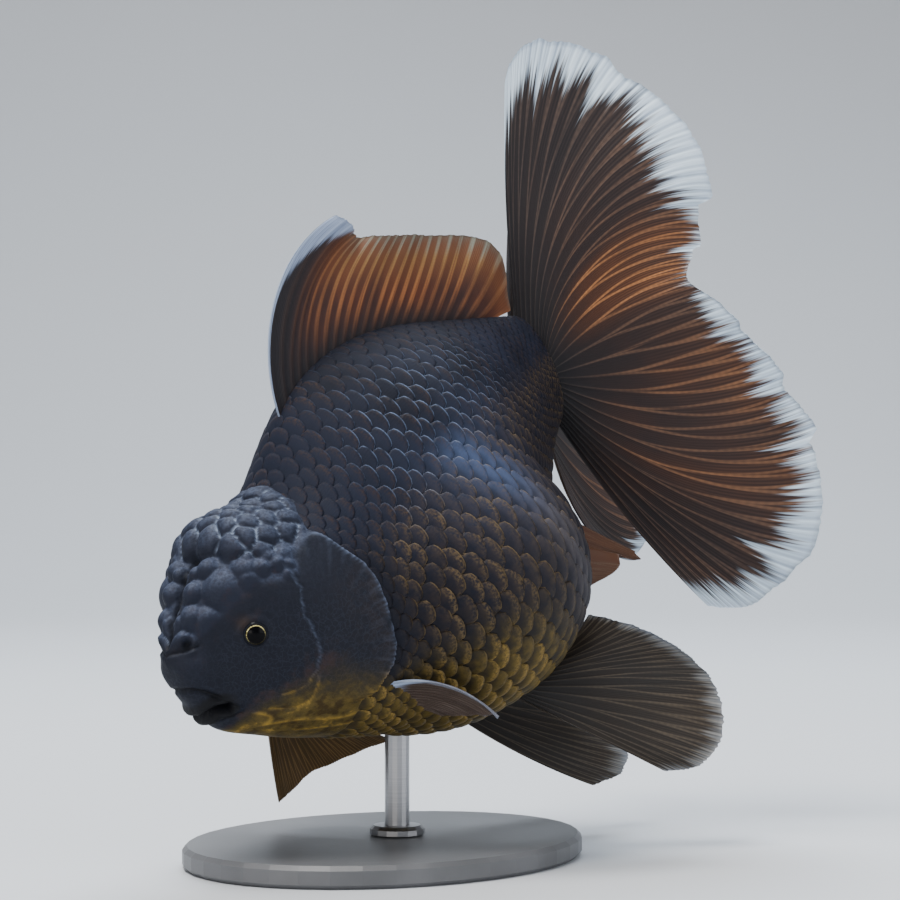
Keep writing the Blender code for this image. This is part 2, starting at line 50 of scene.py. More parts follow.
# ---- The body's surface, as in the solids
PITCH, ROLL = 24.9, -5.5
SNOUT_AHEAD, SNOUT_HEIGHT = 55.0, 38.0
STATIONS = (  # x, top, bottom, half width, height of the widest place, power that rounds the back
    (1.8, -3.0, -3.0, 0.0, -3.0, 2.0),
    (2.4, 0.2, -6.5, 1.9, -3.2, 2.0),
    (4.5, 3.2, -12.0, 3.7, -4.0, 2.1),
    (8.0, 6.8, -16.7, 6.0, -4.5, 2.3),
    (13.5, 11.0, -20.5, 10.7, -5.0, 2.5),
    (21.0, 13.4, -25.3, 15.9, -7.0, 2.5),
    (30.0, 13.8, -30.0, 18.5, -9.0, 2.2),
    (38.0, 18.5, -34.0, 20.5, -9.5, 1.8),
    (46.0, 25.5, -37.0, 22.0, -8.0, 1.6),
    (56.0, 29.8, -38.3, 24.0, -6.0, 1.6),
    (68.0, 30.5, -34.7, 23.5, -3.0, 1.6),
    (80.0, 28.2, -27.2, 19.5, 0.0, 1.7),
    (92.0, 24.0, -18.0, 13.0, 2.5, 1.8),
    (102.0, 20.3, -9.5, 8.0, 4.5, 1.9),
    (110.0, 17.3, -5.0, 5.0, 6.0, 2.0),
)
BELLY_POWER = 2.1  # rounds the lower half
BELLY_X, BELLY_Z = 63.0, -16.0
BELLY_LONG, BELLY_WIDE, BELLY_DEEP = 27.0, 32.8, 26.0
BELLY_BLEND = 7.0  # how softly the belly's ball runs into the trunk
BODY_LENGTH, SKIN_END = 112.0, 110.0
EYE_X, EYE_ANGLE, EYE_RADIUS, EYE_SINK = 13.9, 73.0, 3.0, 1.9

# ---- Fin rays, as in the solids: foot (x, angle), lean, rise at foot and tip, length
DORSAL = (
    (44.6, 0, 0, 88, -3, 45.0),
    (50.0, 0, 0, 74, 2, 37.0),
    (56.0, 0, 0, 72, 2, 30.0),
    (62.0, 0, 0, 60, 15, 25.5),
    (70.0, 0, 0, 48, 27, 22.0),
    (80.0, 0, 0, 35, 38, 20.3),
    (90.0, 0, 0, 30, 40, 19.6),
    (95.5, 0, 0, 18, 34, 17.0),
    (98.5, 0, 0, 5, 22, 11.8),
    (100.5, 0, 0, -4, -5, 7.5),
)
PECTORAL_LEFT = (
    (28.5, 133, 48, 8, -74, 24.5),
    (29.3, 136, 40, 0, -66, 23.0),
    (30.0, 139, 32, -8, -60, 20.0),
    (30.6, 142, 24, -15, -55, 16.0),
    (31.2, 145, 16, -22, -50, 12.5),
)
PECTORAL_RIGHT = (
    (28.5, -132, -82, -60, -70, 24.5),
    (29.0, -134, -68, -58, -66, 23.5),
    (29.5, -136, -42, -52, -62, 22.5),
    (30.0, -138, -22, -48, -58, 23.0),
    (30.6, -141, -8, -42, -48, 25.0),
    (31.2, -144, 0, -40, -45, 26.0),
)
PELVIC_LEFT = (
    (62.0, 163, 34, -50, -51, 34.0),
    (63.6, 164.5, 34, -41, -43, 41.0),
    (65.0, 165.5, 34, -25, -33, 41.5),
    (66.5, 167, 34, -11, -26, 35.5),
    (68.0, 168.5, 34, -5, -3, 26.0),
    (70.0, 170, 32, -7, 40, 17.0),
)
PELVIC_RIGHT = (
    (62.0, -163, 15, -60, -43, 46.0),
    (64.0, -164.5, 11, -50, -38, 46.0),
    (66.0, -166, 5, -38, -28, 43.0),
    (68.0, -167.5, -3, -22, -14, 34.0),
    (70.0, -169, -10, -8, 12, 21.0),
)
ANAL_LEFT = (
    (86.0, 175, 17, -35, -20, 10.5),
    (89.0, 174.5, 18, -43, -29, 18.5),
    (92.0, 174, 19, -49, -40, 25.0),
    (95.0, 173, 19, -52, -47, 28.5),
)
ANAL_RIGHT = (
    (86.0, -175, -7, -44, -32, 17.0),
    (89.0, -174.5, -8, -48, -40, 20.0),
    (92.0, -174, -9, -50, -46, 21.0),
    (95.0, -173, -10, -52, -50, 18.0),
)
TAIL_FOOT = 109.0
TAIL_LEFT = (
    (5, 4, 71, 59, 45.5),
    (14, 10, 69, 57, 54.5),
    (36, 22, 72, 23, 58.5),
    (60, 30, 72, -15, 54.5),
    (73, 37, 62, -34, 44.5),
    (86, 42, 30, -12, 33.5),
    (106, 44, -18, -1, 39.5),
    (121, 46, -53, 3, 50.5),
    (141, 48, -70, -8, 58.5),
    (158, 51, -72, -52, 56.5),
    (170, 52, -79, -65, 48.0),
)
TAIL_RIGHT = (
    (-6, -3, 60, 48, 43.0),
    (-15, -7, 58, 44, 49.0),
    (-36, -16, 58, 16, 51.0),
    (-60, -22, 50, -12, 48.0),
    (-73, -25, 38, -20, 40.0),
    (-86, -27, 18, -12, 33.0),
    (-106, -27, -22, -6, 38.0),
    (-121, -25, -50, -10, 46.0),
    (-141, -22, -82, -14, 54.0),
    (-158, -19, -104, -16, 49.5),
    (-170, -16, -118, -18, 44.5),
)
FOOT_DEPTH = 1.5  # how deep a ray's foot lies in the body
STEPS_PER_RAY = 9  # grid of a fin, from one ray to the next

# ---- Head details: outlines and lines of (x, angle) on the left side
CROWN = ((17.0, 0), (17.4, 17), (18.6, 32), (24.0, 36.5), (31.0, 34.5), (33.2, 23), (34.6, 11), (35.2, 0))
WEN = ((4.2, 0), (4.4, 18), (5.6, 34), (8.4, 44), (12.5, 47), (17.5, 46), (21.4, 52), (24.2, 52), (26.0, 42),
       (31.4, 37), (33.8, 24), (35.2, 11), (35.7, 0))
GILL_RIM = ((31.0, 36), (32.9, 42), (33.9, 51), (35.5, 61), (35.9, 71), (35.5, 83), (34.9, 94), (34.5, 105),
            (33.3, 114), (31.3, 121), (29.6, 128), (27.0, 132))
RIM_KNOTS = ((0, 35.8), (20, 34.0), (34, 31.6), *((angle, x) for x, angle in GILL_RIM[1:]),
             (150, 26.5), (180, 26.5))  # angle, x
CHEEK_LINE = ((22.9, 44), (22.9, 56), (21.9, 65), (21.3, 72), (21.5, 80), (21.5, 90), (21.2, 98), (19.9, 109),
              (18.9, 115), (17.5, 122), (14.5, 130))
JAW_LINE = ((20.1, 113), (19.1, 126), (17.0, 137), (13.0, 144))
MIDDLE_GROOVE = ((16.4, 1), (13.9, 3), (11.0, 2), (8.5, 2), (6.4, 4), (4.6, 2), (3.4, 0))
NOSE_FOLD = ((2.4, 3), (2.9, 17), (3.9, 30), (5.2, 40), (6.6, 45))
LIP_FOLD = ((2.05, 180), (2.6, 146), (4.0, 134), (5.6, 137), (7.2, 142), (8.8, 146))
MOUTH_LINE = ((4.5, 180), (4.9, 166), (6.0, 154), (7.6, 149))
CHIN_LINE = ((6.2, 180), (6.6, 168), (7.8, 158), (9.2, 153))
THROAT_LINES = (((13.0, 158), (17.0, 149), (20.5, 146), (25.0, 144), (29.0, 137)),
                ((17.5, 160), (22.0, 154), (28.5, 150)),
                ((11.0, 149), (13.3, 151), (12.3, 161)))
# Rounded lobes of the brow and the cheek's upper edge: x, angle, size.
LOBES = ((13.2, 33, 5.6), (10.6, 13, 3.4), (7.9, 22, 3.6), (14.8, 15, 3.2), (6.3, 11, 2.6), (9.0, 38, 4.2),
         (17.0, 40, 3.4), (19.9, 39, 2.9), (22.3, 42, 2.5), (23.8, 45, 2.1), (22.8, 50, 2.2), (13.5, 7, 2.6),
         (5.4, 24, 2.2))
NOSTRIL, SNOUT_PAD, SNOUT_DENT, EYE_SPOT = (5.4, 33), (4.6, 74), (2.2, 75), (13.2, 61)  # x, angle
HEAD_END = 40.0  # no relief behind it
CROWN_MIDDLE, CROWN_HALF, CROWN_RADIUS = 26.1, 9.1, 19.0  # x, half its length, its radius round the head
CROWN_ROWS = (33.6, 17.0)  # x of the rearmost and foremost rows of the crown's lobes
WRINKLES = ((31, 0), (53, 2), (87, 4))  # beat and phase of the gill cover's fine spokes

# ---- Markings along the body, and the band of painted sheen: x and an angle off the back
GOLD_EDGE = ((0, 215), (5.5, 205), (7.5, 176), (9.2, 158), (12, 142), (15.5, 127), (19, 116), (23, 115),
             (27, 118), (34, 124), (42, 120), (50, 115), (58, 119), (66, 134), (76, 152), (88, 163),
             (98, 168), (110, 178))
GOLD_SOFTNESS = ((0, 9), (12, 17), (24, 29), (40, 22), (60, 24))  # half width of the change to gold
# painted sheen: the line along which a pale blue highlight is painted, its width and the width of its faint
# halo
SHEEN_LINE = ((62.8, 58), (65.0, 68), (67.0, 80), (68.8, 91), (70.5, 106), (72.0, 121))
SHEEN_WIDTH, SHEEN_HALO = 4.5, 14.0

# ---- Grids of the skin, the eyes and the scales
SCALE_DEPTH = 0.35  # how deep the skin lies under the scales
SKIN_STEP, SKIN_COLUMNS = 0.33, 380  # grid of the head's skin
NECK, NECK_ROWS = 38.5, 62  # where the skin's coarser rows start, and how many there are
SNOUT_CAP, TAIL_CAP = 0.12, 1.2  # how far its first row is from the snout, and its end from its last row
EYE_LID = 2.35  # radius of the eye's opening
EYE_GAP = 0.12  # how much smaller the eyeball is than the solid eye
SCALE_ROWS = 72  # round the body
ROW_SPREAD = 0.13  # how much wider than the mean the rows are on the flanks
SCALES_FROM, SCALES_TO = 28.0, 108.8
SCALE_PITCH = 2 * math.pi / SCALE_ROWS
GIRTHS = ((28, 142), (45, 152), (62, 178), (80, 142), (92, 100), (102, 76), (109, 58))  # x, way round
SCALE_LONG, GIRTH_PARTS = 1.62, 66  # a scale shows this many 66ths of the way round
SCALE_GRID = (7, 9)  # points along and across a scale
SCALE_HIDDEN, SCALE_SHOWN = 0.62, 0.58  # how far it runs ahead of and behind its root
TIP_POWER = 2.3  # rounds the tip
UV_SCALE = 0.0015  # size of one scale on the baked map


def natural_spline(values):
    """A function of t in 0..len-1 that runs smoothly through values, one row for each whole t."""
    values = np.asarray(values, float)
    count = len(values)
    system, right = np.eye(count), np.zeros_like(values)
    for i in range(1, count - 1):
        system[i, i - 1 : i + 2] = (1, 4, 1)
        right[i] = 6 * (values[i - 1] - 2 * values[i] + values[i + 1])
    bends = np.linalg.solve(system, right)

    def at(t):
        t = np.clip(np.asarray(t, float), 0, count - 1)
        i = np.minimum(t.astype(int), count - 2)
        b = (t - i)[(...,) + (None,) * (values.ndim - 1)]
        a = 1 - b
        return a * values[i] + b * values[i + 1] + ((a**3 - a) * bends[i] + (b**3 - b) * bends[i + 1]) / 6

    return at


station = natural_spline(STATIONS)
STATION_NUMBERS = np.linspace(0, len(STATIONS) - 1.0, 1401)
STATION_PLACES = station(STATION_NUMBERS)[:, 0]


def belly_radius(x, axis_z, side, up):
    share = np.sqrt(np.clip(1 - ((x - BELLY_X) / BELLY_LONG) ** 2, 1e-9, 1))
    wide, deep = BELLY_WIDE * share, BELLY_DEEP * share
    rise = axis_z - BELLY_Z
    a = (side / wide) ** 2 + (up / deep) ** 2
    b = rise * up / deep**2
    c = (rise / deep) ** 2 - 1
    inside = b * b - a * c
    reach = (np.sqrt(np.maximum(inside, 0)) - b) / a
    return np.where((inside > 0) & (np.abs(x - BELLY_X) < BELLY_LONG), np.maximum(reach, 0), 0)


def body_point(x, angle):
    """A point of the body's surface."""
    x, angle = np.broadcast_arrays(np.asarray(x, float), np.asarray(angle, float))
    number = np.interp(x, STATION_PLACES, STATION_NUMBERS)
    place, back, belly, half, widest, back_power = np.moveaxis(station(number), -1, 0)
    side, up = np.sin(angle), np.cos(angle)
    height = np.maximum(np.where(up > 0, back - widest, widest - belly), 1e-6)
    power = np.where(up > 0, back_power, BELLY_POWER)
    radius = (np.abs(side / np.maximum(half, 1e-6)) ** power + np.abs(up / height) ** power) ** (-1 / power)
    swollen = belly_radius(place, widest, side, up)
    blend = np.clip(1 - np.abs(radius - swollen) / BELLY_BLEND, 0, 1)
    radius = np.maximum(radius, swollen) + BELLY_BLEND * blend**2 / 4
    return np.stack([place, -radius * side, widest + radius * up], -1)


def body_frame(x, angle, step=0.02):
    """The directions along and round the body and its outward normal."""
    first, last = STATION_PLACES[0], STATION_PLACES[-1]
    along = body_point(np.minimum(x + step, last), angle) - body_point(np.maximum(x - step, first), angle)
    around = body_point(x, angle + step) - body_point(x, angle - step)
    normal = np.cross(around, along)
    return along / (2 * step), around / (2 * step), unit(normal)


def unit(vectors):
    return vectors / np.maximum(np.linalg.norm(vectors, axis=-1, keepdims=True), 1e-12)


def smooth_step(low, high, value):
    share = np.clip((value - low) / (high - low), 0, 1)
    return share * share * (3 - 2 * share)


def from_table(value, table):
    """The value between the knots of a table of (value, result)."""
    return np.interp(value, *np.array(table, float).T)


def spot(distance, width):
    return np.exp(-((distance / width) ** 2))


def surface_at(place):
    """The body's surface at one (x, angle in degrees)."""
    return body_point(place[0], math.radians(place[1]))


def round_spot(points, place, width):
    """A round spot about a place on the body's left side."""
    return spot(np.linalg.norm(points - surface_at(place), axis=1), width)


def surface_line(line, count=60):
    """Points along a line of (x, angle) on the left side of the body."""
    table = np.asarray(line, float)
    steps = np.linspace(0, len(table) - 1, count)
    x, angle = natural_spline(table)(steps).T
    return body_point(x, np.radians(angle))


def distance_to(points, line):
    """How far each point is from a line of points."""
    nearest = np.full(len(points), np.inf)
    for a, b in zip(line, line[1:]):
        share = np.clip((points - a) @ (b - a) / max((b - a) @ (b - a), 1e-12), 0, 1)
        nearest = np.minimum(nearest, np.linalg.norm(points - a - share[:, None] * (b - a), axis=1))
    return nearest


def outline_share(x, off_back, outline):
    """0 in the middle of a symmetric outline, 1 at its edge, from its polar radius."""
    outline = np.asarray(outline, float)
    middle = (outline[:, 0].min() + outline[:, 0].max()) / 2
    edge_x, edge_angle = outline[:, 0] - middle, outline[:, 1] / 2
    turns = np.arctan2(edge_angle, edge_x)[::-1]
    reach = np.hypot(edge_x, edge_angle)[::-1]
    turn = np.arctan2(off_back / 2, x - middle)
    return np.hypot(x - middle, off_back / 2) / np.interp(turn, turns, reach)


# ---- Skin relief
def wen_seeds():
    """Middles and sizes of the lobes on the head: rows over the crown, and the brow's own."""
    seeds = []
    x, row = CROWN_ROWS[0], 0
    while x > CROWN_ROWS[1]:
        size = np.interp(x, (17, 24, 34), (4.3, 3.8, 3.3))
        last = np.interp(x, (17, 18.6, 24, 31, 33.2, 34.6), (17, 32, 37, 35, 23, 11))
        wide = math.radians(last) * CROWN_RADIUS
        lateral = (row % 2) * size / 2
        while lateral < wide + 0.4 * size:
            for side in (-1, 1):
                if side < 0 and lateral == 0:
                    continue
                shift = rng.uniform(-0.24, 0.24, 2) * size
                seeds.append((x + shift[0], math.degrees((side * lateral + shift[1]) / CROWN_RADIUS), size))
            lateral += size
        x -= size * 0.84
        row += 1
    for lobe_x, angle, size in LOBES:
        for side in (-1, 1):
            shift = rng.uniform(-0.05, 0.05, 2) * size
            seeds.append((lobe_x + shift[0], side * (angle + 3 * shift[1]), size))
    seeds = np.array(seeds)
    return body_point(seeds[:, 0], np.radians(seeds[:, 1])), seeds[:, 2]


def lobes(points):
    """Rounded lobes that meet in creases: how low a point lies, sharply and softly, and how creased it is."""
    middles, sizes = wen_seeds()
    first = np.full(len(points), np.inf)
    second = np.full(len(points), np.inf)
    size = np.ones(len(points))
    for middle, lobe in zip(middles, sizes):
        away = np.linalg.norm(points - middle, axis=1) / lobe
        closer = away < first
        second = np.where(closer, first, np.minimum(second, away))
        size = np.where(closer, lobe, size)
        first = np.where(closer, away, first)
    gap = np.clip((second - first) / 0.8, 0, 1)
    dome = (1 - (1 - gap) ** 2.2) ** 0.5
    return 0.34 * size * (dome - 1), -2.6 * np.minimum(first, 0.7) ** 2, 1 - smooth_step(0.0, 0.075, gap)


def relief(x, angle):
    """How far the skin stands off the body's surface, and the masks that its markings need."""
    points = body_point(x, angle)
    left = points.copy()
    left[:, 1] = -np.abs(left[:, 1])
    off_back = np.abs(np.degrees(angle))
    height = np.zeros(len(x))
    on_head = x < HEAD_END
    masks = {name: np.zeros(len(x)) for name in ("crease", "wen", "line", "dark", "brown")}

    # Crown and brow.
    p, xs, back, h = left[on_head], x[on_head], off_back[on_head], height[on_head]
    share = outline_share(xs, back, CROWN)
    ahead = (CROWN_MIDDLE - xs) / CROWN_HALF
    swell = (0.6 + 3.2 * (1 - np.clip(share, 0, 1) ** 2)) * (1 + 0.3 * ahead) - 0.35
    swell = swell + 0.75 * smooth_step(0.45, 0.85, share) * smooth_step(0.1, -0.7, ahead)
    crown = 1 - smooth_step(0.93, 1.06, share)
    wen_share = outline_share(xs, back, WEN)
    wen = 1 - smooth_step(0.93, 1.03, wen_share)
    brow = smooth_step(4, 8, xs) * (1 - crown)
    sharp, soft, crease = lobes(points[on_head])
    smooth = smooth_step(0.1, 0.9, brow)
    h += np.maximum(swell, 0) * crown + wen * sharp * (1 - smooth)
    h += (1 - smooth_step(0.78, 1.08, wen_share)) * (0.7 * brow + soft * smooth)
    groove = distance_to(p, surface_line(MIDDLE_GROOVE))
    h -= (0.9 * spot(groove, 0.45) + 0.8 * spot(groove, 1.5)) * (1 - crown) * smooth_step(1.5, 4, xs)

    # Snout and nostrils.
    nose = distance_to(p, surface_line(NOSE_FOLD))
    h -= 0.5 * spot(nose, 0.4)
    h -= round_spot(p, SNOUT_DENT, 4.2)
    nostril = surface_at(NOSTRIL)
    away = np.linalg.norm(p - nostril, axis=1)
    turn = np.arctan2(p[:, 2] - nostril[2], p[:, 1] - nostril[1])
    curl = smooth_step(-0.2, 0.6, np.cos(turn - 2.6) + 0.7)
    h += 0.5 * spot(away - 1.35, 0.65) * curl - 0.9 * spot(away, 0.75)
    pad = round_spot(p, SNOUT_PAD, 2.8)
    h += 1.1 * pad

    # Lips and mouth.
    lip = distance_to(p, surface_line(LIP_FOLD))
    mouth = distance_to(p, surface_line(MOUTH_LINE))
    chin = distance_to(p, surface_line(CHIN_LINE))
    fold = 0.75 * spot(mouth - 1.35, 0.8) - 0.55 * spot(lip, 0.4)
    h += fold - 1.9 * spot(mouth, 0.5) - 0.45 * spot(chin, 0.4)

    # Cheek, jaw and throat.
    wobble = 0.16 * np.sin(back * 0.62) + 0.11 * np.sin(back * 1.37 + 1)
    cheek = distance_to(p + wobble[:, None] * (1, 0, 0), surface_line(CHEEK_LINE))
    h += 0.14 * spot(cheek - 1.0, 0.9) - 0.26 * spot(cheek, 0.22)
    jaw = distance_to(p, surface_line(JAW_LINE))
    h -= 0.2 * spot(jaw, 0.3)
    throat = [distance_to(p, surface_line(line)) for line in THROAT_LINES]
    h += 0.16 * sum(spot(away_by, 0.4) for away_by in throat)

    # Gill cover, and the step down to the scales behind it.
    rim_x = rim_at(back)
    inside = smooth_step(0.2, -0.12, xs - rim_x)
    rim = distance_to(p, surface_line(GILL_RIM))
    covered = smooth_step(34, 40, back) * (1 - smooth_step(128, 140, back)) * smooth_step(21, 25, xs)
    spoke = np.arctan2(p[:, 2] + 8, p[:, 0] - 20)
    bent = 0.3 * np.sin(xs * 1.1)
    wrinkle = sum(np.sin(spoke * beat + phase + bent) for beat, phase in WRINKLES)
    h += inside * covered * (0.6 * spot(rim, 3.4) + 0.1 + 0.015 * wrinkle * spot(rim - 3, 5))
    scallop = 0.5 + 0.5 * np.sin(back * 3.9 + 1.3 * np.sin(back * 0.7))
    h += 0.09 * spot(rim - 0.5, 0.6) * scallop * inside * covered
    h -= (1 - inside) * SCALE_DEPTH * (0.6 + 0.4 * smooth_step(0, 2, xs - rim_x))

    # The eye's lid.
    eye = eye_distance(p)
    h += 0.2 * spot(eye - EYE_LID - 0.3, 0.4) - 0.12 * spot(eye - EYE_LID - 1.4, 0.5)

    # Masks.
    height[on_head] = h
    height[~on_head] = -SCALE_DEPTH
    masks["crease"][on_head] = crease * wen * (1 - smooth)
    # the snout pad takes part of the hood's slate tint and its painted top light: a painted highlight on the
    # pad
    masks["wen"][on_head] = wen * (1.25 - 0.25 * crown) + 0.45 * pad
    masks["brown"][on_head] = round_spot(p, EYE_SPOT, 1.3)
    pale = 0.45 * spot(cheek, 0.18) * (back > 44)
    pale += spot(rim, 0.3 + 0.3 * scallop) * inside * covered * (0.4 + 0.6 * scallop)
    pale += 0.4 * spot(jaw, 0.25) + 0.6 * sum(spot(away_by, 0.35) for away_by in throat)
    pale += 0.07 * np.clip(wrinkle, 0, 2) * spot(rim, 4.0) * inside * covered
    masks["line"][on_head] = np.clip(pale, 0, 1)
    # painted shade in the mouth's gap, the lip and nose folds, the nostril and the brow's middle groove; the
    # lips are dark in their own colour
    shade = spot(mouth, 0.9) + 0.8 * spot(lip, 0.4) + 0.9 * spot(away, 0.8) + 0.5 * spot(nose, 0.35)
    lips = smooth_step(2.9, 2.2, mouth) * smooth_step(9.5, 7.5, xs)
    masks["dark"][on_head] = np.clip(shade + 0.95 * lips + 0.8 * spot(groove, 0.5) * (1 - crown), 0, 1)
    return height, masks


def rim_at(off_back):
    """x of the gill cover's rear edge, and of where the scales start above and below it."""
    return from_table(off_back, RIM_KNOTS)


def eye_axis():
    angle = math.radians(EYE_ANGLE)
    normal = body_frame(EYE_X, angle)[2]
    return body_point(EYE_X, angle) - normal * EYE_SINK, normal


def eye_distance(points):
    """How far each point is from the left eye's axis."""
    centre, axis = eye_axis()
    offset = points - centre
    return np.linalg.norm(offset - (offset @ axis)[:, None] * axis, axis=1)


def gold_at(x, off_back):
    """How golden the skin is: throat and belly."""
    edge, soft = from_table(x, GOLD_EDGE), from_table(x, GOLD_SOFTNESS)
    return smooth_step(-soft, soft, off_back - edge)


def sheen_at(x, angle):
    """How strongly a pale blue sheen is painted: a band over the belly's shoulder, fainter on the right."""
    points = body_point(x, np.abs(angle))
    flat = points.reshape(-1, 3)
    away = distance_to(flat, surface_line(SHEEN_LINE, 16))
    shine = 0.78 * spot(away, SHEEN_WIDTH) * smooth_step(50, 60, flat[:, 0]) + 0.24 * spot(away, SHEEN_HALO)
    shine = shine.reshape(points.shape[:-1]) * smooth_step(36, 64, np.degrees(np.arccos(np.cos(angle))))
    return shine * np.where(np.sin(angle) > 0, 1, 0.55)


# ---- Meshes
POSE = Matrix.Translation(Vector((-SNOUT_AHEAD, 0, SNOUT_HEIGHT)) * MM) @ Euler(
    (math.radians(ROLL), -math.radians(PITCH), 0)
).to_matrix().to_4x4() @ Matrix.Scale(MM, 4)
POSE = np.array(POSE)


def to_row(points):
    """Points of the fish's frame, in millimetres, as metres in the row's frame."""
    return np.asarray(points, float) @ POSE[:3, :3].T + POSE[:3, 3]


def add_object(name, data):
    made = bpy.data.objects.new(name, data)
    bpy.context.scene.collection.objects.link(made)
    return made


def add_mesh(name, points, faces, attributes, material):
    """A smooth mesh object in the row's frame that rides on the body, with an attribute for each mask.

    The attribute place holds the points in the fish's frame, in decimetres.
    """
    mesh = bpy.data.meshes.new(name)
    faces = [np.asarray(block) for block in faces]
    counts = np.concatenate([np.full(len(block), block.shape[1]) for block in faces])
    corners = np.concatenate([block.ravel() for block in faces]).astype(np.int32)
    mesh.vertices.add(len(points))
    mesh.vertices.foreach_set("co", np.ascontiguousarray(to_row(points), np.float32).ravel())
    mesh.loops.add(len(corners))
    mesh.loops.foreach_set("vertex_index", corners)
    mesh.polygons.add(len(counts))
    starts = np.concatenate([[0], np.cumsum(counts)[:-1]]).astype(np.int32)
    mesh.polygons.foreach_set("loop_start", starts)
    mesh.update(calc_edges=True)
    mesh.validate()
    mesh.shade_smooth()
    attribute = mesh.attributes.new("place", "FLOAT_VECTOR", "POINT")
    attribute.data.foreach_set("vector", np.asarray(points, np.float32).ravel() / 100)
    for key, values in attributes.items():
        attribute = mesh.attributes.new(key, "FLOAT", "POINT")
        attribute.data.foreach_set("value", np.asarray(values, np.float32).ravel())
    mesh.materials.append(material)
    obj = add_object(name, mesh)
    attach(obj, "root")
    return obj


def add_uv(obj, coordinates):
    """The map named OFBake, from one (u, v) for each vertex."""
    layer = obj.data.uv_layers.new(name="OFBake")
    corners = np.empty(len(obj.data.loops), np.int32)
    obj.data.loops.foreach_get("vertex_index", corners)
    layer.data.foreach_set("uv", np.asarray(coordinates, np.float32)[corners].ravel())


def unwrap(x, angle):
    """The skin's own unwrap: along the body and round it."""
    return np.stack([x / BODY_LENGTH, 0.5 + angle / (2 * math.pi)], -1)


def grid_faces(rows, columns, wrap=False):
    """Quads of a grid of rows x columns points, joined round if wrap is set."""
    index = np.arange(rows * columns).reshape(rows, columns)
    if wrap:
        index = np.concatenate([index, index[:, :1]], 1)
    return np.stack([index[:-1, :-1], index[:-1, 1:], index[1:, 1:], index[1:, :-1]], -1).reshape(-1, 4)


def bridge(ring, inner):
    """Quads from one closed ring of points to another."""
    return np.stack([np.roll(ring, -1), ring, inner, np.roll(inner, -1)], -1)


def fan(ring, centre):
    """Triangles from a closed ring of points to one point."""
    return np.stack([np.roll(ring, -1), ring, np.full(len(ring), centre)], -1)


def make_skin():
    """One skin from the lips to the tail's root."""
    fine = np.linspace(STATION_PLACES[0], SKIN_END, 6000)
    profile = body_point(fine, math.radians(55))
    length = np.concatenate([[0], np.cumsum(np.linalg.norm(np.diff(profile, axis=0), axis=1))])
    neck = np.interp(NECK, fine, length)
    trunk_steps = np.linspace(neck, length[-1], NECK_ROWS)[1:]
    steps = np.concatenate([np.arange(SNOUT_CAP, neck, SKIN_STEP), trunk_steps])
    xs = np.interp(steps, length, fine)
    columns = SKIN_COLUMNS
    angles = (np.arange(columns) + 0.5) / columns * 2 * math.pi - math.pi
    x, angle = [values.ravel() for values in np.meshgrid(xs, angles, indexing="ij")]
    height, masks = relief(x, angle)
    points = body_point(x, angle) + body_frame(x, angle)[2] * height[:, None]
    rows = len(xs)
    snout = points.reshape(rows, columns, 3)[0].mean(0)
    tail = points.reshape(rows, columns, 3)[-1]
    tail_middle = tail.mean(0) + (TAIL_CAP, 0, 0)
    ring = tail_middle + (tail - tail_middle) * 0.6 + (TAIL_CAP / 2, 0, 0)
    points = np.concatenate([points, ring, [snout, tail_middle]])
    count = rows * columns
    around = np.arange(columns)
    faces = [
        grid_faces(rows, columns, wrap=True),
        bridge(count + around, count - columns + around),
        fan(around, count + columns),
        fan(count + around, count + columns + 1)[:, ::-1],
    ]
    masks["gold"] = gold_at(x, np.abs(np.degrees(angle)))
    masks["sheen"] = sheen_at(x, angle)
    masks["turn"] = np.abs(angle) / math.pi
    attributes = {
        key: np.concatenate([values, np.full(columns + 2, 0.5 if key == "turn" else 0.0)])
        for key, values in masks.items()
    }
    skin = add_mesh("skin", points, faces, attributes, skin_material())
    ring_map = unwrap(np.full(columns, (SKIN_END + BODY_LENGTH) / 2), angles)
    add_uv(skin, np.concatenate([unwrap(x, angle), ring_map, [[0, 0.5], [1, 0.5]]]))
    return skin


def scale_roots():
    """Each scale's x, angle, shown length and a random number, in rings that alternate."""
    roots = []
    x, ring = SCALES_FROM, 0
    while x < SCALES_TO:
        exposed = SCALE_LONG * from_table(x, GIRTHS) / GIRTH_PARTS
        for row in range(ring % 2, SCALE_ROWS, 2):
            angle = (row + 0.5) * SCALE_PITCH - math.pi
            angle -= ROW_SPREAD / 2 * math.sin(2 * angle)
            jitter = rng.uniform(-1, 1, 3)
            if x > rim_at(abs(math.degrees(angle))) - 1.2:
                place = (x + 0.1 * exposed * jitter[0], angle + 0.07 * SCALE_PITCH * jitter[1])
                roots.append((*place, exposed, jitter[2]))
        x += exposed / 2
        ring += 1
    return np.array(roots)


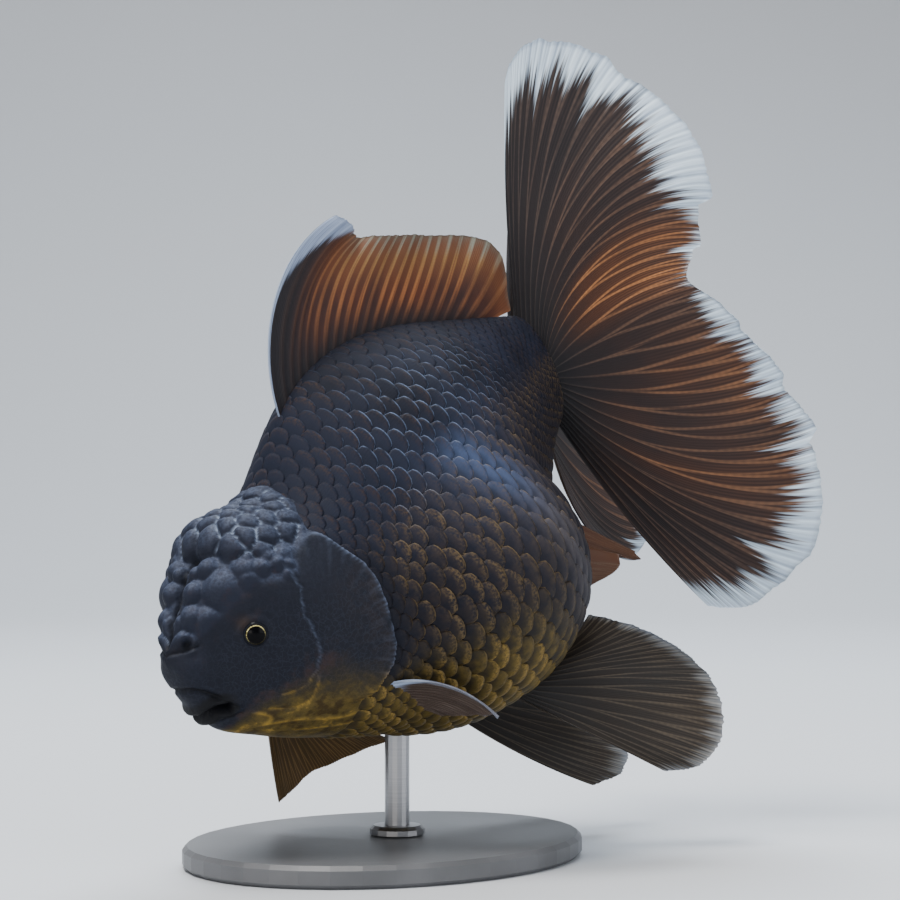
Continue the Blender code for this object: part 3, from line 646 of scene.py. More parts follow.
def make_scales():
    """Overlapping solid scales in slanting rows, in one piece for each side of the body."""
    roots = scale_roots()
    along_steps, across_steps = SCALE_GRID
    reach = np.linspace(0, 1, along_steps)[None, :, None]
    across = np.linspace(-1, 1, across_steps)[None, None, :]
    root_x, root_angle, exposed, seed = [column[:, None, None] for column in roots.T]
    tip = (1 - np.abs(across) ** TIP_POWER) ** (1 / TIP_POWER)
    along = exposed * (-SCALE_HIDDEN + reach * (SCALE_HIDDEN + SCALE_SHOWN * tip))
    slope = np.linalg.norm(body_frame(root_x, root_angle)[0], axis=-1)
    scale_x = np.clip(root_x + along / slope, STATION_PLACES[0], SKIN_END - 0.1)
    wide = SCALE_PITCH * (1 - ROW_SPREAD * np.cos(2 * root_angle))
    scale_angle = root_angle + across * wide * 1.12 * (0.86 + 0.14 * reach)
    surface, normal = body_point(scale_x, scale_angle), body_frame(scale_x, scale_angle)[2]
    rise = smooth_step(-SCALE_HIDDEN, SCALE_SHOWN, along / exposed)
    domed = 0.12 + 0.88 * smooth_step(0.8, 1.8, np.abs(scale_angle)) * smooth_step(112, 92, scale_x)
    lift = -0.27 + (0.18 + 0.28 * domed) * rise + 0.02 * seed * reach
    lift = lift + domed * (0.34 * np.sin(math.pi * reach**1.5) * (1 - across**2) - 0.08 * across**2 * rise)
    top = surface + normal * lift[..., None]
    count = len(roots)
    index = np.arange(along_steps * across_steps).reshape(along_steps, across_steps)
    rim = np.concatenate([index[0, :-1], index[:-1, -1], index[-1, :0:-1], index[:0:-1, 0]])
    flat_top = top.reshape(count, -1, 3)
    inward = normal.reshape(count, -1, 3)
    skirt = flat_top[:, rim] - 0.07 * inward[:, rim]
    skirt = skirt + (flat_top.mean(1, keepdims=True) - skirt) * 0.03
    centre_point = index[along_steps // 2, across_steps // 2]
    middle = flat_top[:, [centre_point]] - 0.3 * inward[:, [centre_point]]
    points = np.concatenate([flat_top, skirt, middle], 1)
    size = points.shape[1]
    around = np.arange(len(rim))
    first = along_steps * across_steps
    quads = np.concatenate([grid_faces(along_steps, across_steps), bridge(rim, first + around)])
    fans = fan(first + around, size - 1)

    def spread(values):
        """One value for each point of a scale, from the grid's values."""
        grid = np.broadcast_to(values, top.shape[:3]).reshape(count, -1)
        return np.concatenate([grid, grid[:, rim], grid[:, [centre_point]]], 1)

    place = np.stack([spread(scale_x), spread(scale_angle)], -1)
    off_back = np.abs(np.degrees((place[..., 1] + math.pi) % (2 * math.pi) - math.pi))
    masks = {
        "tip": spread(reach),
        "side": spread(across),
        "seed": spread(seed),
        # 1 on each scale's edge and underside, which are painted in shade
        "under": np.concatenate([np.zeros((count, first)), np.ones((count, len(rim) + 1))], 1),
        # painted shadow on the scales just behind the gill cover
        "shade": smooth_step(5.5, 0.5, place[..., 0] - rim_at(off_back)) * smooth_step(45, 70, off_back),
        "gold": gold_at(spread(root_x), off_back),
        "turn": off_back / 180,
        "sheen": sheen_at(place[..., 0], place[..., 1]),
    }
    local = np.stack([spread(along / exposed), spread(across)], -1)
    local = local / np.abs(local).max((0, 1)) * UV_SCALE
    centre = unwrap(roots[:, 0], roots[:, 1])[:, None]
    material = scale_material()
    for word, side in (("left", roots[:, 1] > 0), ("right", roots[:, 1] <= 0)):
        chosen = np.flatnonzero(side)
        offsets = (np.arange(len(chosen)) * size)[:, None, None]
        faces = [(quads[None] + offsets).reshape(-1, 4), (fans[None] + offsets).reshape(-1, 3)]
        attributes = {key: values[chosen] for key, values in masks.items()}
        obj = add_mesh(f"scales_{word}", points[chosen].reshape(-1, 3), faces, attributes, material)
        add_uv(obj, (centre + local)[chosen].reshape(-1, 2))


# ---- Meshes of the fins
def ray_profile(ray, reach, forks, width=0.13):
    """1 on a ray and 0 on the web between: each ray forks twice on its way out, from forks on."""
    off = np.abs(ray - np.round(ray))
    fork = np.abs(off - 0.25 * smooth_step(forks, forks + 0.45, reach))
    twig = np.abs(fork - 0.125 * smooth_step(forks + 0.35, forks + 0.7, reach))
    return spot(twig, width * (1 - 0.5 * reach))


def make_fin(name, rows, rays, material, nodes, warm, margin, ripple=(0, 0.0), along=36, fray=0.03,
             split=None, forks=0.25, width=0.13, folds=(), rounded=(0.0, 0.0), even_feet=False):
    """A thin closed fin: rays that stand out on both faces and fork, a web between, and a frayed margin.

    warm and margin are tables of (share across the fin, value): how warm the web is, partly its own orange
    and partly painted light that shines through it, and where the pale edge starts. ripple is beats and
    degrees of sway, and split the share at which the margin is notched. folds are steps in the margin as
    (share, depth), and rounded is how much the first and last ray are cut back.
    even_feet spaces the rays evenly along the body.
    """
    across = rays * STEPS_PER_RAY
    shares = np.linspace(0, 1, across + 1)
    x, angle, out, rise_foot, rise_tip, length = natural_spline(rows)(shares * (len(rows) - 1)).T
    angle, rise_foot, rise_tip = np.radians(angle), np.radians(rise_foot), np.radians(rise_tip)
    foot = body_point(x, angle) - body_frame(x, angle)[2] * FOOT_DEPTH
    ray = rays * (x - x[0]) / (x[-1] - x[0]) if even_feet else rays * shares
    coarse = np.interp(ray, np.arange(rays + 2), rng.uniform(0, 1, rays + 2))
    fine = np.interp(ray * 3, np.arange(rays * 3 + 2), rng.uniform(0, 1, rays * 3 + 2))
    end = 0.99 - fray * (0.5 * coarse + 0.3 * fine + 0.2 * (1 - ray_profile(ray, 1.0, forks, 0.2)))
    if split:
        end = end - 0.05 * spot((shares - split) * length.mean(), 1.6)
    for share, depth in folds:
        past = smooth_step(share - 0.008, share + 0.004, shares)
        end = end - depth * past * (1 - smooth_step(0, 0.1, shares - share))
    end = end - rounded[0] * smooth_step(0.22, 0, shares) ** 2 - rounded[1] * smooth_step(0.72, 1, shares)
    reach = np.linspace(0, 1, along + 1)[None, :] * end[:, None]
    bend = rise_tip - rise_foot
    bend = np.where(np.abs(bend) < 1e-3, 1e-3, bend)[:, None]
    rise_foot = rise_foot[:, None]
    back = (np.sin(rise_foot + bend * reach) - np.sin(rise_foot)) / bend
    up = (np.cos(rise_foot) - np.cos(rise_foot + bend * reach)) / bend
    beats, sway = ripple
    lean = np.radians(out[:, None] + sway * reach * np.sin(2 * math.pi * beats * shares)[:, None])
    path = np.stack([back * np.cos(lean), -back * np.sin(lean), up], -1)
    middle = foot[:, None, :] + path * (length + FOOT_DEPTH)[:, None, None]
    normal = unit(np.cross(np.gradient(middle, axis=0), np.gradient(middle, axis=1)))
    ridge = ray_profile(ray[:, None], reach, forks, width)
    fold = np.sin(2 * math.pi * ray[:, None] / 3.7) + 0.6 * np.sin(2 * math.pi * ray[:, None] / 2.3 + 1)
    middle = middle + normal * (0.13 * fold * smooth_step(0.3, 1, reach))[..., None]
    half = (0.07 + 0.2 * (0.35 + 0.65 * ridge) * (1 - 0.6 * reach))[..., None]
    points = np.stack([middle + normal * half, middle - normal * half])
    grid = grid_faces(across + 1, along + 1)
    count = (across + 1) * (along + 1)
    index = np.arange(count).reshape(across + 1, along + 1)
    rim = np.concatenate([index[:, 0], index[-1, 1:], index[-2::-1, -1], index[0, -2:0:-1]])
    faces = np.concatenate([grid, count + grid[:, ::-1], bridge(rim, count + rim)])
    columns = {
        "ray": ray,
        "share": shares,
        "warm": from_table(shares, warm),
        "margin": from_table(shares, margin) - 0.12 * sum(spot(shares - share, 0.004) for share, _ in folds),
    }
    attributes = {key: np.tile(np.repeat(values, along + 1), 2) for key, values in columns.items()}
    attributes["reach"] = np.tile(reach.ravel(), 2)
    obj = add_mesh(name, points.reshape(-1, 3), [faces], attributes, material)
    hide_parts(*nodes)


# ---- Shader arithmetic
class Value:
    """A number, vector or colour that a shader works out, with arithmetic on it."""

    def __init__(self, paint, socket, kind="number"):
        self.paint, self.socket, self.kind = paint, socket, kind

    def sum(self, operation, *others):
        if all(getattr(each, "kind", "number") == "number" for each in (self, *others)):
            return self.paint.node("ShaderNodeMath", {"operation": operation}, [self, *others])
        return self.paint.node("ShaderNodeVectorMath", {"operation": operation}, [self, *others], 0, "vector")

    def __add__(self, other):
        return self.sum("ADD", other)

    def __sub__(self, other):
        return self.sum("SUBTRACT", other)

    def __rsub__(self, other):
        return self.paint.node("ShaderNodeMath", {"operation": "SUBTRACT"}, [other, self])

    def __mul__(self, other):
        return self.sum("MULTIPLY", other)

    __radd__, __rmul__ = __add__, __mul__

    def size(self):
        return self.sum("ABSOLUTE")

    def step(self, low, high, start=0.0, end=1.0):
        """A smooth step from start to end while the value goes from low to high."""
        settings = {"interpolation_type": "SMOOTHSTEP"}
        return self.paint.node("ShaderNodeMapRange", settings, [self, low, high, start, end])

    def part(self, index):
        return self.paint.node("ShaderNodeSeparateXYZ", {}, [self], index)


class Paint:
    """A material's nodes."""

    def __init__(self, name):
        self.material = bpy.data.materials.new(name)
        self.material.use_nodes = True
        self.tree = self.material.node_tree
        self.shader = self.tree.nodes["Principled BSDF"]

    def node(self, node_type, settings, inputs=(), output=0, kind="number"):
        """Adds a node with its settings, and its inputs: a list in order, or a dict by name or number."""
        made = self.tree.nodes.new(node_type)
        for key, value in settings.items():
            setattr(made, key, value)
        for key, value in inputs.items() if isinstance(inputs, dict) else enumerate(inputs):
            self.fill(made.inputs[key], value)
        return Value(self, made.outputs[output], kind)

    def fill(self, socket, value):
        if isinstance(value, Value):
            self.tree.links.new(value.socket, socket)
        elif isinstance(value, tuple) and socket.type == "RGBA":
            socket.default_value = (*value, 1)[:4]
        else:
            socket.default_value = value

    def attribute(self, name):
        return self.node("ShaderNodeAttribute", {"attribute_name": name}, (), "Fac")

    def place(self):
        return self.node("ShaderNodeAttribute", {"attribute_name": "place"}, (), "Vector", "vector")

    def object_place(self):
        return self.node("ShaderNodeTexCoord", {}, (), "Object", "vector")

    def vector(self, *parts):
        return self.node("ShaderNodeCombineXYZ", {}, parts, 0, "vector")

    def noise(self, vector, scale, detail=3.0, roughness=0.55):
        inputs = {"Vector": vector, "Scale": scale, "Detail": detail, "Roughness": roughness}
        return self.node("ShaderNodeTexNoise", {}, inputs)

    def cells(self, vector, scale, feature="DISTANCE_TO_EDGE"):
        return self.node("ShaderNodeTexVoronoi", {"feature": feature}, {"Vector": vector, "Scale": scale})

    def mix(self, first, second, share):
        """From first to second colour as share goes from 0 to 1."""
        return self.node("ShaderNodeMix", {"data_type": "RGBA"}, {0: share, 6: first, 7: second}, 2, "colour")

    def over(self, colour, *layers):
        """The colour with layers over it, each a colour and how much of it covers."""
        for layer, share in layers:
            colour = self.mix(colour, layer, share)
        return colour

    def bump(self, height, distance, strength):
        inputs = {"Strength": strength, "Distance": distance, "Height": height}
        return self.node("ShaderNodeBump", {}, inputs, 0, "vector")

    def finish(self, inputs):
        """Fills the shader's inputs by name and returns the material."""
        for key, value in inputs.items():
            self.fill(self.shader.inputs[key], value)
        return self.material


# ---- Colours of the fish
BLUE_BLACK = (0.0057, 0.007, 0.0130)
SLATE = (0.0205, 0.026, 0.048)
PALE_SLATE = (0.148, 0.19, 0.295)
# painted sheen: a pale blue highlight over the belly's shoulder, and the grey it turns to lower down
SHEEN = (0.054, 0.083, 0.168)
SHEEN_GREY = (0.080, 0.074, 0.083)
UMBER = (0.0225, 0.0165, 0.016)
OLIVE = (0.030, 0.0235, 0.0115)
GOLD = (0.078, 0.054, 0.014)
BRIGHT_GOLD = (0.44, 0.27, 0.045)
# near black: painted shade in the mouth, folds, nostrils and groove and under the scales, and the lips' own
# dark
SHADE_AND_LIP_BLACK = (0.003, 0.003, 0.004)
# painted rim light: the pale edges of the hood's creases
CREASE_RIM_LIGHT = (0.27, 0.34, 0.47)  # in the hood's creases
BLOTCH = (0.022, 0.013, 0.005)
BLUSH = (0.040, 0.021, 0.018)
EYE_BROWN = (0.034, 0.020, 0.013)
TIP_BROWN, TIP_RUSSET = (0.14, 0.094, 0.042), (0.045, 0.026, 0.018)
NET_BLUE, NET_GOLD = (0.16, 0.215, 0.34), (0.17, 0.12, 0.055)
BAND_RUST, BAND_YELLOW = (0.17, 0.058, 0.022), (0.33, 0.205, 0.07)
BAND_GREEN, BAND_RIM = (0.20, 0.24, 0.21), (0.10, 0.09, 0.07)
MARGIN_HAZE = (0.42, 0.50, 0.65)
PUPIL, LID = (0.0015, 0.0015, 0.002), (0.010, 0.011, 0.015)
IRIS_BROWN, IRIS_GOLD = (0.10, 0.075, 0.02), (0.62, 0.55, 0.25)


# ---- Materials of the skin and the scales
def markings(paint):
    """The fish's ground colour: blue-black above, umber on the flanks, gold on throat and belly, and a
    painted sheen.
    """
    place = paint.place()
    gold, turn = paint.attribute("gold"), paint.attribute("turn")
    cloud = paint.noise(place, 9.0)
    fleck = paint.noise(place, 60.0, 4.0)
    along = place.part(0)
    above = turn.step(0.78, 0.2) * (0.15 + 0.85 * along.step(0.36, 0.56)) * turn.step(0.02, 0.15, 0.4, 1.0)
    dark = paint.mix(BLUE_BLACK, SLATE, above * cloud.step(0.25, 0.75) * 0.5)
    flank = turn.step(0.24, 0.42) * along.step(0.22, 0.42)
    dark = paint.mix(dark, UMBER, flank * fleck.step(0.25, 0.65) * 0.75)
    shown = gold * 0.95 + (fleck - 0.5) * 0.4 + (cloud - 0.5) * 0.35
    warm = paint.mix(OLIVE, GOLD, (shown + (fleck - 0.5) * 1.1).step(0.45, 1.1))
    ground = paint.mix(dark, warm, shown.step(0.08, 0.75))
    # painted sheen: a pale blue highlight over the belly's shoulder, greyer lower down
    shine = paint.mix(SHEEN, SHEEN_GREY, turn.step(0.42, 0.6))
    ground = paint.mix(ground, shine, paint.attribute("sheen") * (0.36 + 0.5 * fleck))
    return ground, shown, turn, place, fleck


def skin_material():
    paint = Paint("oranda_skin")
    ground, gold, turn, place, fleck = markings(paint)
    crease, wen = paint.attribute("crease"), paint.attribute("wen")
    line, dark = paint.attribute("line"), paint.attribute("dark")
    # painted top light: lit is 1 where the skin faces up and 0 where it faces sideways or down
    facing = paint.node("ShaderNodeNewGeometry", {}, (), "Normal", "vector").part(2)
    lit = facing.step(0.0, 0.95)
    fine = paint.noise(place, 160.0, 4.0, 0.65)
    mottle = paint.noise(place, 38.0, 4.0)
    web = paint.cells(place + (fleck - 0.5) * 0.03, 90.0)
    line_colour = paint.mix(PALE_SLATE, BRIGHT_GOLD, gold.step(0.2, 0.6))
    blush = gold.step(0.02, 0.22) * gold.step(0.5, 0.28) * (1 - place.part(0)).step(0.72, 0.80)
    # The hood's slate is partly its own tint and partly painted top light; the pale flecks on up-facing skin
    # are a painted highlight, and the pale lines in the hood's creases are painted rim light, brighter where
    # the skin faces up.
    colour = paint.over(
        ground,
        (SLATE, wen * (0.25 + 0.55 * lit)),
        (PALE_SLATE, (wen * 0.23 + 0.06) * lit * fine.step(0.3, 0.75)),
        (CREASE_RIM_LIGHT, crease * (0.12 + 0.7 * lit)),
        (line_colour, line * fleck.step(0.25, 0.6) * 0.6),
        (line_colour, web.step(0.10, 0.0) * (1 - wen) * turn.step(0.2, 0.45) * 0.035),
        (BLOTCH, gold.step(0.4, 0.9) * mottle.step(0.48, 0.64) * (1 - line) * 0.75),
        (BRIGHT_GOLD, gold.step(0.65, 1.0) * mottle.step(0.42, 0.30) * 0.4),
        (EYE_BROWN, paint.attribute("brown") * 0.6),
        (BLUSH, blush * mottle.step(0.35, 0.65) * 0.6),
        # painted shade in the mouth, the folds, the nostril and the groove, and the dark lips
        (SHADE_AND_LIP_BLACK, dark * 0.9),
    )
    grain = fine * 0.7 + paint.cells(place, 190.0, "F1") * 0.3
    return paint.finish({
        "Base Color": colour,
        "Roughness": 0.56 + 0.14 * fleck,
        "Normal": paint.bump(grain, 0.00016, 0.7),
        "Specular IOR Level": 0.16,
    })


def scale_material():
    paint = Paint("oranda_scales")
    ground, gold, turn, place, fleck = markings(paint)
    tip, side = paint.attribute("tip"), paint.attribute("side")
    seed, under = paint.attribute("seed"), paint.attribute("under")
    along = place.part(0)
    edge = tip.step(0.935, 0.985)
    inner = tip.step(0.58, 0.92) * tip.step(1.0, 0.95)
    root = tip.step(0.66, 0.40) * turn.step(0.2, 0.45, 0.4, 1.0)
    back = turn.step(0.46, 0.30)
    flank = turn.step(0.26, 0.40)
    grain = paint.noise(place, 210.0, 3.0, 0.65)
    # the golden crescents fade where the pale blue sheen is painted
    crescent = inner * (1 - side.size() * 0.35) * (0.55 + 0.45 * seed) * (1 - paint.attribute("sheen") * 0.75)
    # painted shadow behind the gill cover, kept off the golden belly
    shaded = paint.attribute("shade") * gold.step(0.7, 0.2) * 0.8
    shown = flank * (1 - shaded)
    net = edge * back * along.step(0.40, 0.52) * along.step(0.98, 0.8) * turn.step(0.05, 0.16, 0.2, 1.0)
    colour = paint.over(
        ground,
        (SLATE, turn.step(0.5, 0.2) * along.step(0.54, 0.42) * 0.3),
        (BLUE_BLACK, root * 0.55),
        (TIP_BROWN, crescent * shown * grain.step(0.38, 0.66) * 0.85),
        (TIP_RUSSET, crescent * back * grain.step(0.35, 0.7) * 0.8),
        (BRIGHT_GOLD, crescent * gold.step(0.3, 0.85) * grain.step(0.3, 0.65) * 0.5),
        (NET_BLUE, net * fleck.step(0.3, 0.62) * 0.65),
        (NET_GOLD, edge * shown * fleck.step(0.35, 0.62) * 0.7),
        (BLUE_BLACK, shaded),
        # painted shade on each scale's edge and underside
        (SHADE_AND_LIP_BLACK, under * 0.8),
    )
    rays = (side * 30).sum("SINE") * 0.5 + 0.5
    return paint.finish({
        "Base Color": colour,
        "Roughness": 0.56 + 0.14 * fleck + turn.step(0.25, 0.05, 0.0, 0.12),
        "Normal": paint.bump(grain * 0.7 + rays * tip * 0.3, 0.00008, 0.6),
        "Specular IOR Level": 0.11,
    })


# ---- Materials of the fins, and the fins
def fin_material(name, web, rays, foot, pale, pale_amount=1.0, streaks=0.5, forks=0.25, root=None, band=None):
    """A rayed fin: dark web, paler forking rays, and a pale margin that runs in along the rays in streaks.

    rays holds the rays' colour on dark and on warm web. root is a colour of the fin's foot.
    band makes the rays broad bands of that half width, whose outer halves turn pale yellow.
    """
    paint = Paint(name)
    ray, reach = paint.attribute("ray"), paint.attribute("reach")
    warm, margin = paint.attribute("warm"), paint.attribute("margin")
    off = (ray - ray.sum("ROUND")).size()
    fork = (off - 0.25 * reach.step(forks, forks + 0.45)).size()
    twig = (fork - 0.125 * reach.step(forks + 0.35, forks + 0.7)).size()
    on_ray = twig.step(0.125 - 0.06 * reach, 0.02)
    if band:
        on_ray = (off * (1 + 0.7 * reach)).step(band, 0.4 * band)
    fine = (ray * (2 * math.pi * 8)).sum("SINE") * 0.5 + 0.5
    joints = (reach * 210 + ray * 1.7).sum("SINE") * 0.5 + 0.5
    along = paint.vector(ray * 5.2, reach * 1.6, 0.0)
    streak = paint.noise(along, 1.0, 3.0, 0.7)
    hair = paint.noise(along * (2.6, 1.0, 1.0), 1.0, 2.0, 0.6)
    patch = paint.noise(paint.vector(ray * 0.42, reach * 1.1, 7.0), 1.0, 2.0)
    cloud = paint.noise(paint.place(), 8.0)
    # glow: where the web turns warm orange, partly the fin's own colour and partly painted light shining
    # through the fin; the rays brighten with it
    glow = warm * reach.step(0.03, 0.4) * (0.45 + 0.55 * patch.step(0.3, 0.65))
    base = paint.mix(foot, web, glow * (0.55 + 0.45 * cloud.step(0.3, 0.65)))
    ray_colour = paint.mix(*rays, glow)

    def ragged(amount):
        """How far out a place lies, made uneven by the streaks."""
        return reach + (streak - 0.5) * amount

    if band:
        share = paint.attribute("share")
        outer = share.step(0.16, 0.34) * share.step(0.92, 0.72) * patch.step(0.2, 0.5)
        base = paint.over(
            base,
            (BAND_RUST, warm * reach.step(0.35, 0.85) * 0.6),
            (BAND_RIM, ragged(0.15).step(0.86, 1.0) * 0.6),
        )
        ray_colour = paint.over(
            ray_colour,
            (BAND_YELLOW, ragged(0.5).step(0.42, 0.8) * outer * 0.7),
            (BAND_GREEN, ragged(0.2).step(0.72, 0.92) * outer * 0.8),
        )
    base = paint.over(
        base,
        (ray_colour, on_ray * streak.step(0.2, 0.6) * (0.45 + 0.45 * glow)),
        (ray_colour, fine * reach.step(0.3, 0.8) * (0.08 + 0.10 * glow)),
        (foot, joints * on_ray * (0.07 if band else 0.2)),
    )
    if root:
        inner = ragged(0.2) + paint.attribute("share").step(0.2, 0.0, 0.0, -0.22)
        base = paint.mix(root, base, inner.step(0.10, 0.30))
    edge = reach + ((streak - 0.5) * 0.8 + (hair - 0.5) * 0.6 + (patch - 0.5) * 0.3) * streaks
    dim = tuple(part * share for part, share in zip(pale, (0.33, 0.36, 0.43)))
    margin_colour = paint.over(
        pale,
        (dim, (1 - on_ray) * 0.35 + fine * 0.3 + streak.step(0.6, 0.3) * 0.35),
        (MARGIN_HAZE, reach.step(0.93, 1.0) * 0.45),
    )
    return paint.finish({
        "Base Color": paint.mix(base, margin_colour, (edge - margin).step(-0.04, 0.06) * pale_amount),
        "Roughness": 0.5 + 0.1 * cloud,
        "Normal": paint.bump(on_ray * 0.6 + fine * 0.4, 0.00010, 0.5),
        "Specular IOR Level": 0.22,
    })


# Tables of (share across the fin, value).
EVEN = ((0, 1), (1, 1))
DORSAL_WARM = ((0, 0), (0.07, 0.05), (0.15, 0.45), (0.25, 1), (0.85, 1), (1, 0.6))
DORSAL_MARGIN = ((0, 0.0), (0.002, 0.1), (0.007, 0.55), (0.04, 0.70), (0.09, 0.84), (0.13, 0.92),
                 (0.18, 1.02), (1, 1.1))
PECTORAL_MARGIN = ((0, 0.2), (0.10, 0.55), (0.25, 1.0), (1, 1.05))
PELVIC_MARGIN = ((0, 0.93), (0.5, 0.9), (1, 0.94))
TAIL_WARM = ((0, 0), (0.06, 0.05), (0.2, 0.15), (0.34, 0.3), (0.38, 1), (0.48, 1), (0.53, 0.3), (0.6, 0.65),
             (0.72, 0.75), (0.85, 0.45), (1, 0.15))
TAIL_MARGIN = ((0, 0.5), (0.02, 0.76), (0.06, 0.81), (0.14, 0.87), (0.24, 0.86), (0.33, 0.82), (0.37, 0.91),
               (0.5, 0.94), (0.56, 0.88), (0.66, 0.89), (0.78, 0.88), (0.88, 0.88), (1, 0.88))
TAIL_FOLDS = ((0.045, 0.01), (0.13, 0.015), (0.20, 0.02), (0.355, 0.06), (0.43, 0.04), (0.585, 0.03),
              (0.665, 0.03), (0.745, 0.035), (0.86, 0.015))


def make_fins():
    tail = fin_material(
        "tail_web", web=(0.056, 0.020, 0.010), rays=((0.080, 0.062, 0.054), (0.38, 0.155, 0.055)),
        foot=(0.010, 0.0090, 0.011), pale=(0.77, 0.90, 1.0), streaks=0.38)
    dorsal = fin_material(
        "dorsal_web", web=(0.085, 0.024, 0.011), rays=((0.026, 0.016, 0.014), (0.34, 0.122, 0.040)),
        foot=(0.010, 0.009, 0.012), pale=(0.38, 0.46, 0.62), pale_amount=0.85, streaks=0.25,
        forks=0.75, band=0.36)
    pelvic = fin_material(
        "pelvic_web", web=(0.019, 0.0135, 0.010), rays=((0.07, 0.055, 0.04), (0.085, 0.065, 0.045)),
        foot=(0.010, 0.009, 0.009), pale=(0.27, 0.27, 0.26), pale_amount=0.7, streaks=0.3)
    anal = fin_material(
        "anal_web", web=(0.070, 0.027, 0.014), rays=((0.07, 0.045, 0.03), (0.10, 0.058, 0.034)),
        foot=(0.045, 0.018, 0.011), pale=(0.10, 0.09, 0.07), pale_amount=0.5, streaks=0.3)
    breast = fin_material(
        "pectoral_web", web=(0.044, 0.028, 0.021), rays=((0.11, 0.085, 0.075), (0.17, 0.13, 0.11)),
        foot=(0.035, 0.022, 0.017), pale=(0.34, 0.37, 0.45), pale_amount=0.6, streaks=0.35,
        root=(0.30, 0.37, 0.52))
    olive = fin_material(
        "pectoral_far_web", web=(0.075, 0.042, 0.016), rays=((0.12, 0.08, 0.03), (0.22, 0.13, 0.05)),
        foot=(0.04, 0.028, 0.013), pale=(0.20, 0.23, 0.29), pale_amount=0.5, streaks=0.2)
    make_fin("dorsal", DORSAL, 22, dorsal, ["dorsal_fin"], DORSAL_WARM, DORSAL_MARGIN, ripple=(3, 2.0),
             forks=0.75, width=0.26, even_feet=True)
    make_fin("pectoral_left", PECTORAL_LEFT, 11, breast, ["pectoral_fin_left"], EVEN, PECTORAL_MARGIN)
    make_fin("pectoral_right", PECTORAL_RIGHT, 13, olive, ["pectoral_fin_right"], EVEN, EVEN)
    make_fin("pelvic_left", PELVIC_LEFT, 12, pelvic, ["pelvic_fin_left"], EVEN, PELVIC_MARGIN,
             ripple=(1.5, 5), fray=0.05)
    make_fin("pelvic_right", PELVIC_RIGHT, 12, pelvic, ["pelvic_fin_right"], EVEN, PELVIC_MARGIN,
             ripple=(1.5, 4), fray=0.04, rounded=(0.08, 0))
    for word, rows, cut in (("left", ANAL_LEFT, 0.12), ("right", ANAL_RIGHT, 0.08)):
        make_fin(f"anal_{word}", rows, 8, anal, [f"anal_fin_{word}"], EVEN, EVEN, along=26, rounded=(0, cut))
    for word, rows in (("left", TAIL_LEFT), ("right", TAIL_RIGHT)):
        rows = tuple((TAIL_FOOT, *row) for row in rows)
        make_fin(f"tail_{word}", rows, 28, tail, [f"tail_{word}_upper", f"tail_{word}_lower"], TAIL_WARM,
                 TAIL_MARGIN, ripple=(4, 3.0), along=46, split=0.5, folds=TAIL_FOLDS)


# ---- Eyes
def eye_material():
    """Dark pupil, a thin gold iris that is brightest above, and the lid's edge."""
    paint = Paint("oranda_eye")
    off, turn = paint.attribute("off_axis"), paint.attribute("clock")
    fibres = paint.noise(paint.vector(turn * 5, off, 0.0), 2.2, 3.0)
    ring = off.step(1.48, 1.54) * off.step(1.70, 1.64)
    iris = paint.mix(IRIS_BROWN, IRIS_GOLD, fibres.step(0.35, 0.65))
    colour = paint.over(
        PUPIL,
        (iris, ring * turn.sum("SINE").step(-0.6, 0.7, 0.05, 1.0)),
        (LID, off.step(1.70, 1.85)),
    )
    return paint.finish({
        "Base Color": colour,
        "Roughness": 0.25,
        "Specular IOR Level": 0.03,
        "Coat Weight": 0.07,
        "Coat Roughness": 0.02,
    })


def make_eyes():
    """Each eye: a flattened ball whose window bulges a little, with a pupil and a thin gold iris."""
    centre, axis = eye_axis()
    level = unit(np.cross(axis, (0, 0, 1.0)))
    over = np.cross(level, axis)
    material = eye_material()
    rings, spokes = 40, 64
    tilt = np.linspace(0.03, math.pi * 0.62, rings)[:, None]
    clock = np.linspace(0, 2 * math.pi, spokes, endpoint=False)[None, :]
    radius = (EYE_RADIUS - EYE_GAP) * (1 + 0.03 * np.cos(tilt) ** 8 - 0.16 * smooth_step(1.0, 1.9, tilt))
    off = radius * np.sin(tilt) * np.ones_like(clock)
    deep = radius * np.cos(tilt) * np.ones_like(clock)
    outward = np.cos(clock)[..., None] * level + np.sin(clock)[..., None] * over
    for word, side in (("left", 1), ("right", -1)):
        points = (centre + off[..., None] * outward + deep[..., None] * axis) * (1, side, 1)
        ends = np.array([points[0].mean(0), points[-1].mean(0)])
        points = np.concatenate([points.reshape(-1, 3), ends])
        index, count = np.arange(spokes), rings * spokes
        quads = grid_faces(rings, spokes, wrap=True)
        caps = np.concatenate([fan(index, count), fan(count - spokes + index, count + 1)[:, ::-1]])
        if side < 0:
            quads, caps = quads[:, ::-1], caps[:, ::-1]
        attributes = {
            "off_axis": np.concatenate([off.ravel(), [0, 3]]),
            "clock": np.concatenate([np.broadcast_to(clock, off.shape).ravel(), [0, 0]]),
        }
        eye = add_mesh(f"eyeball_{word}", points, [quads, caps], attributes, material)
        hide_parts(f"eye_{word}")


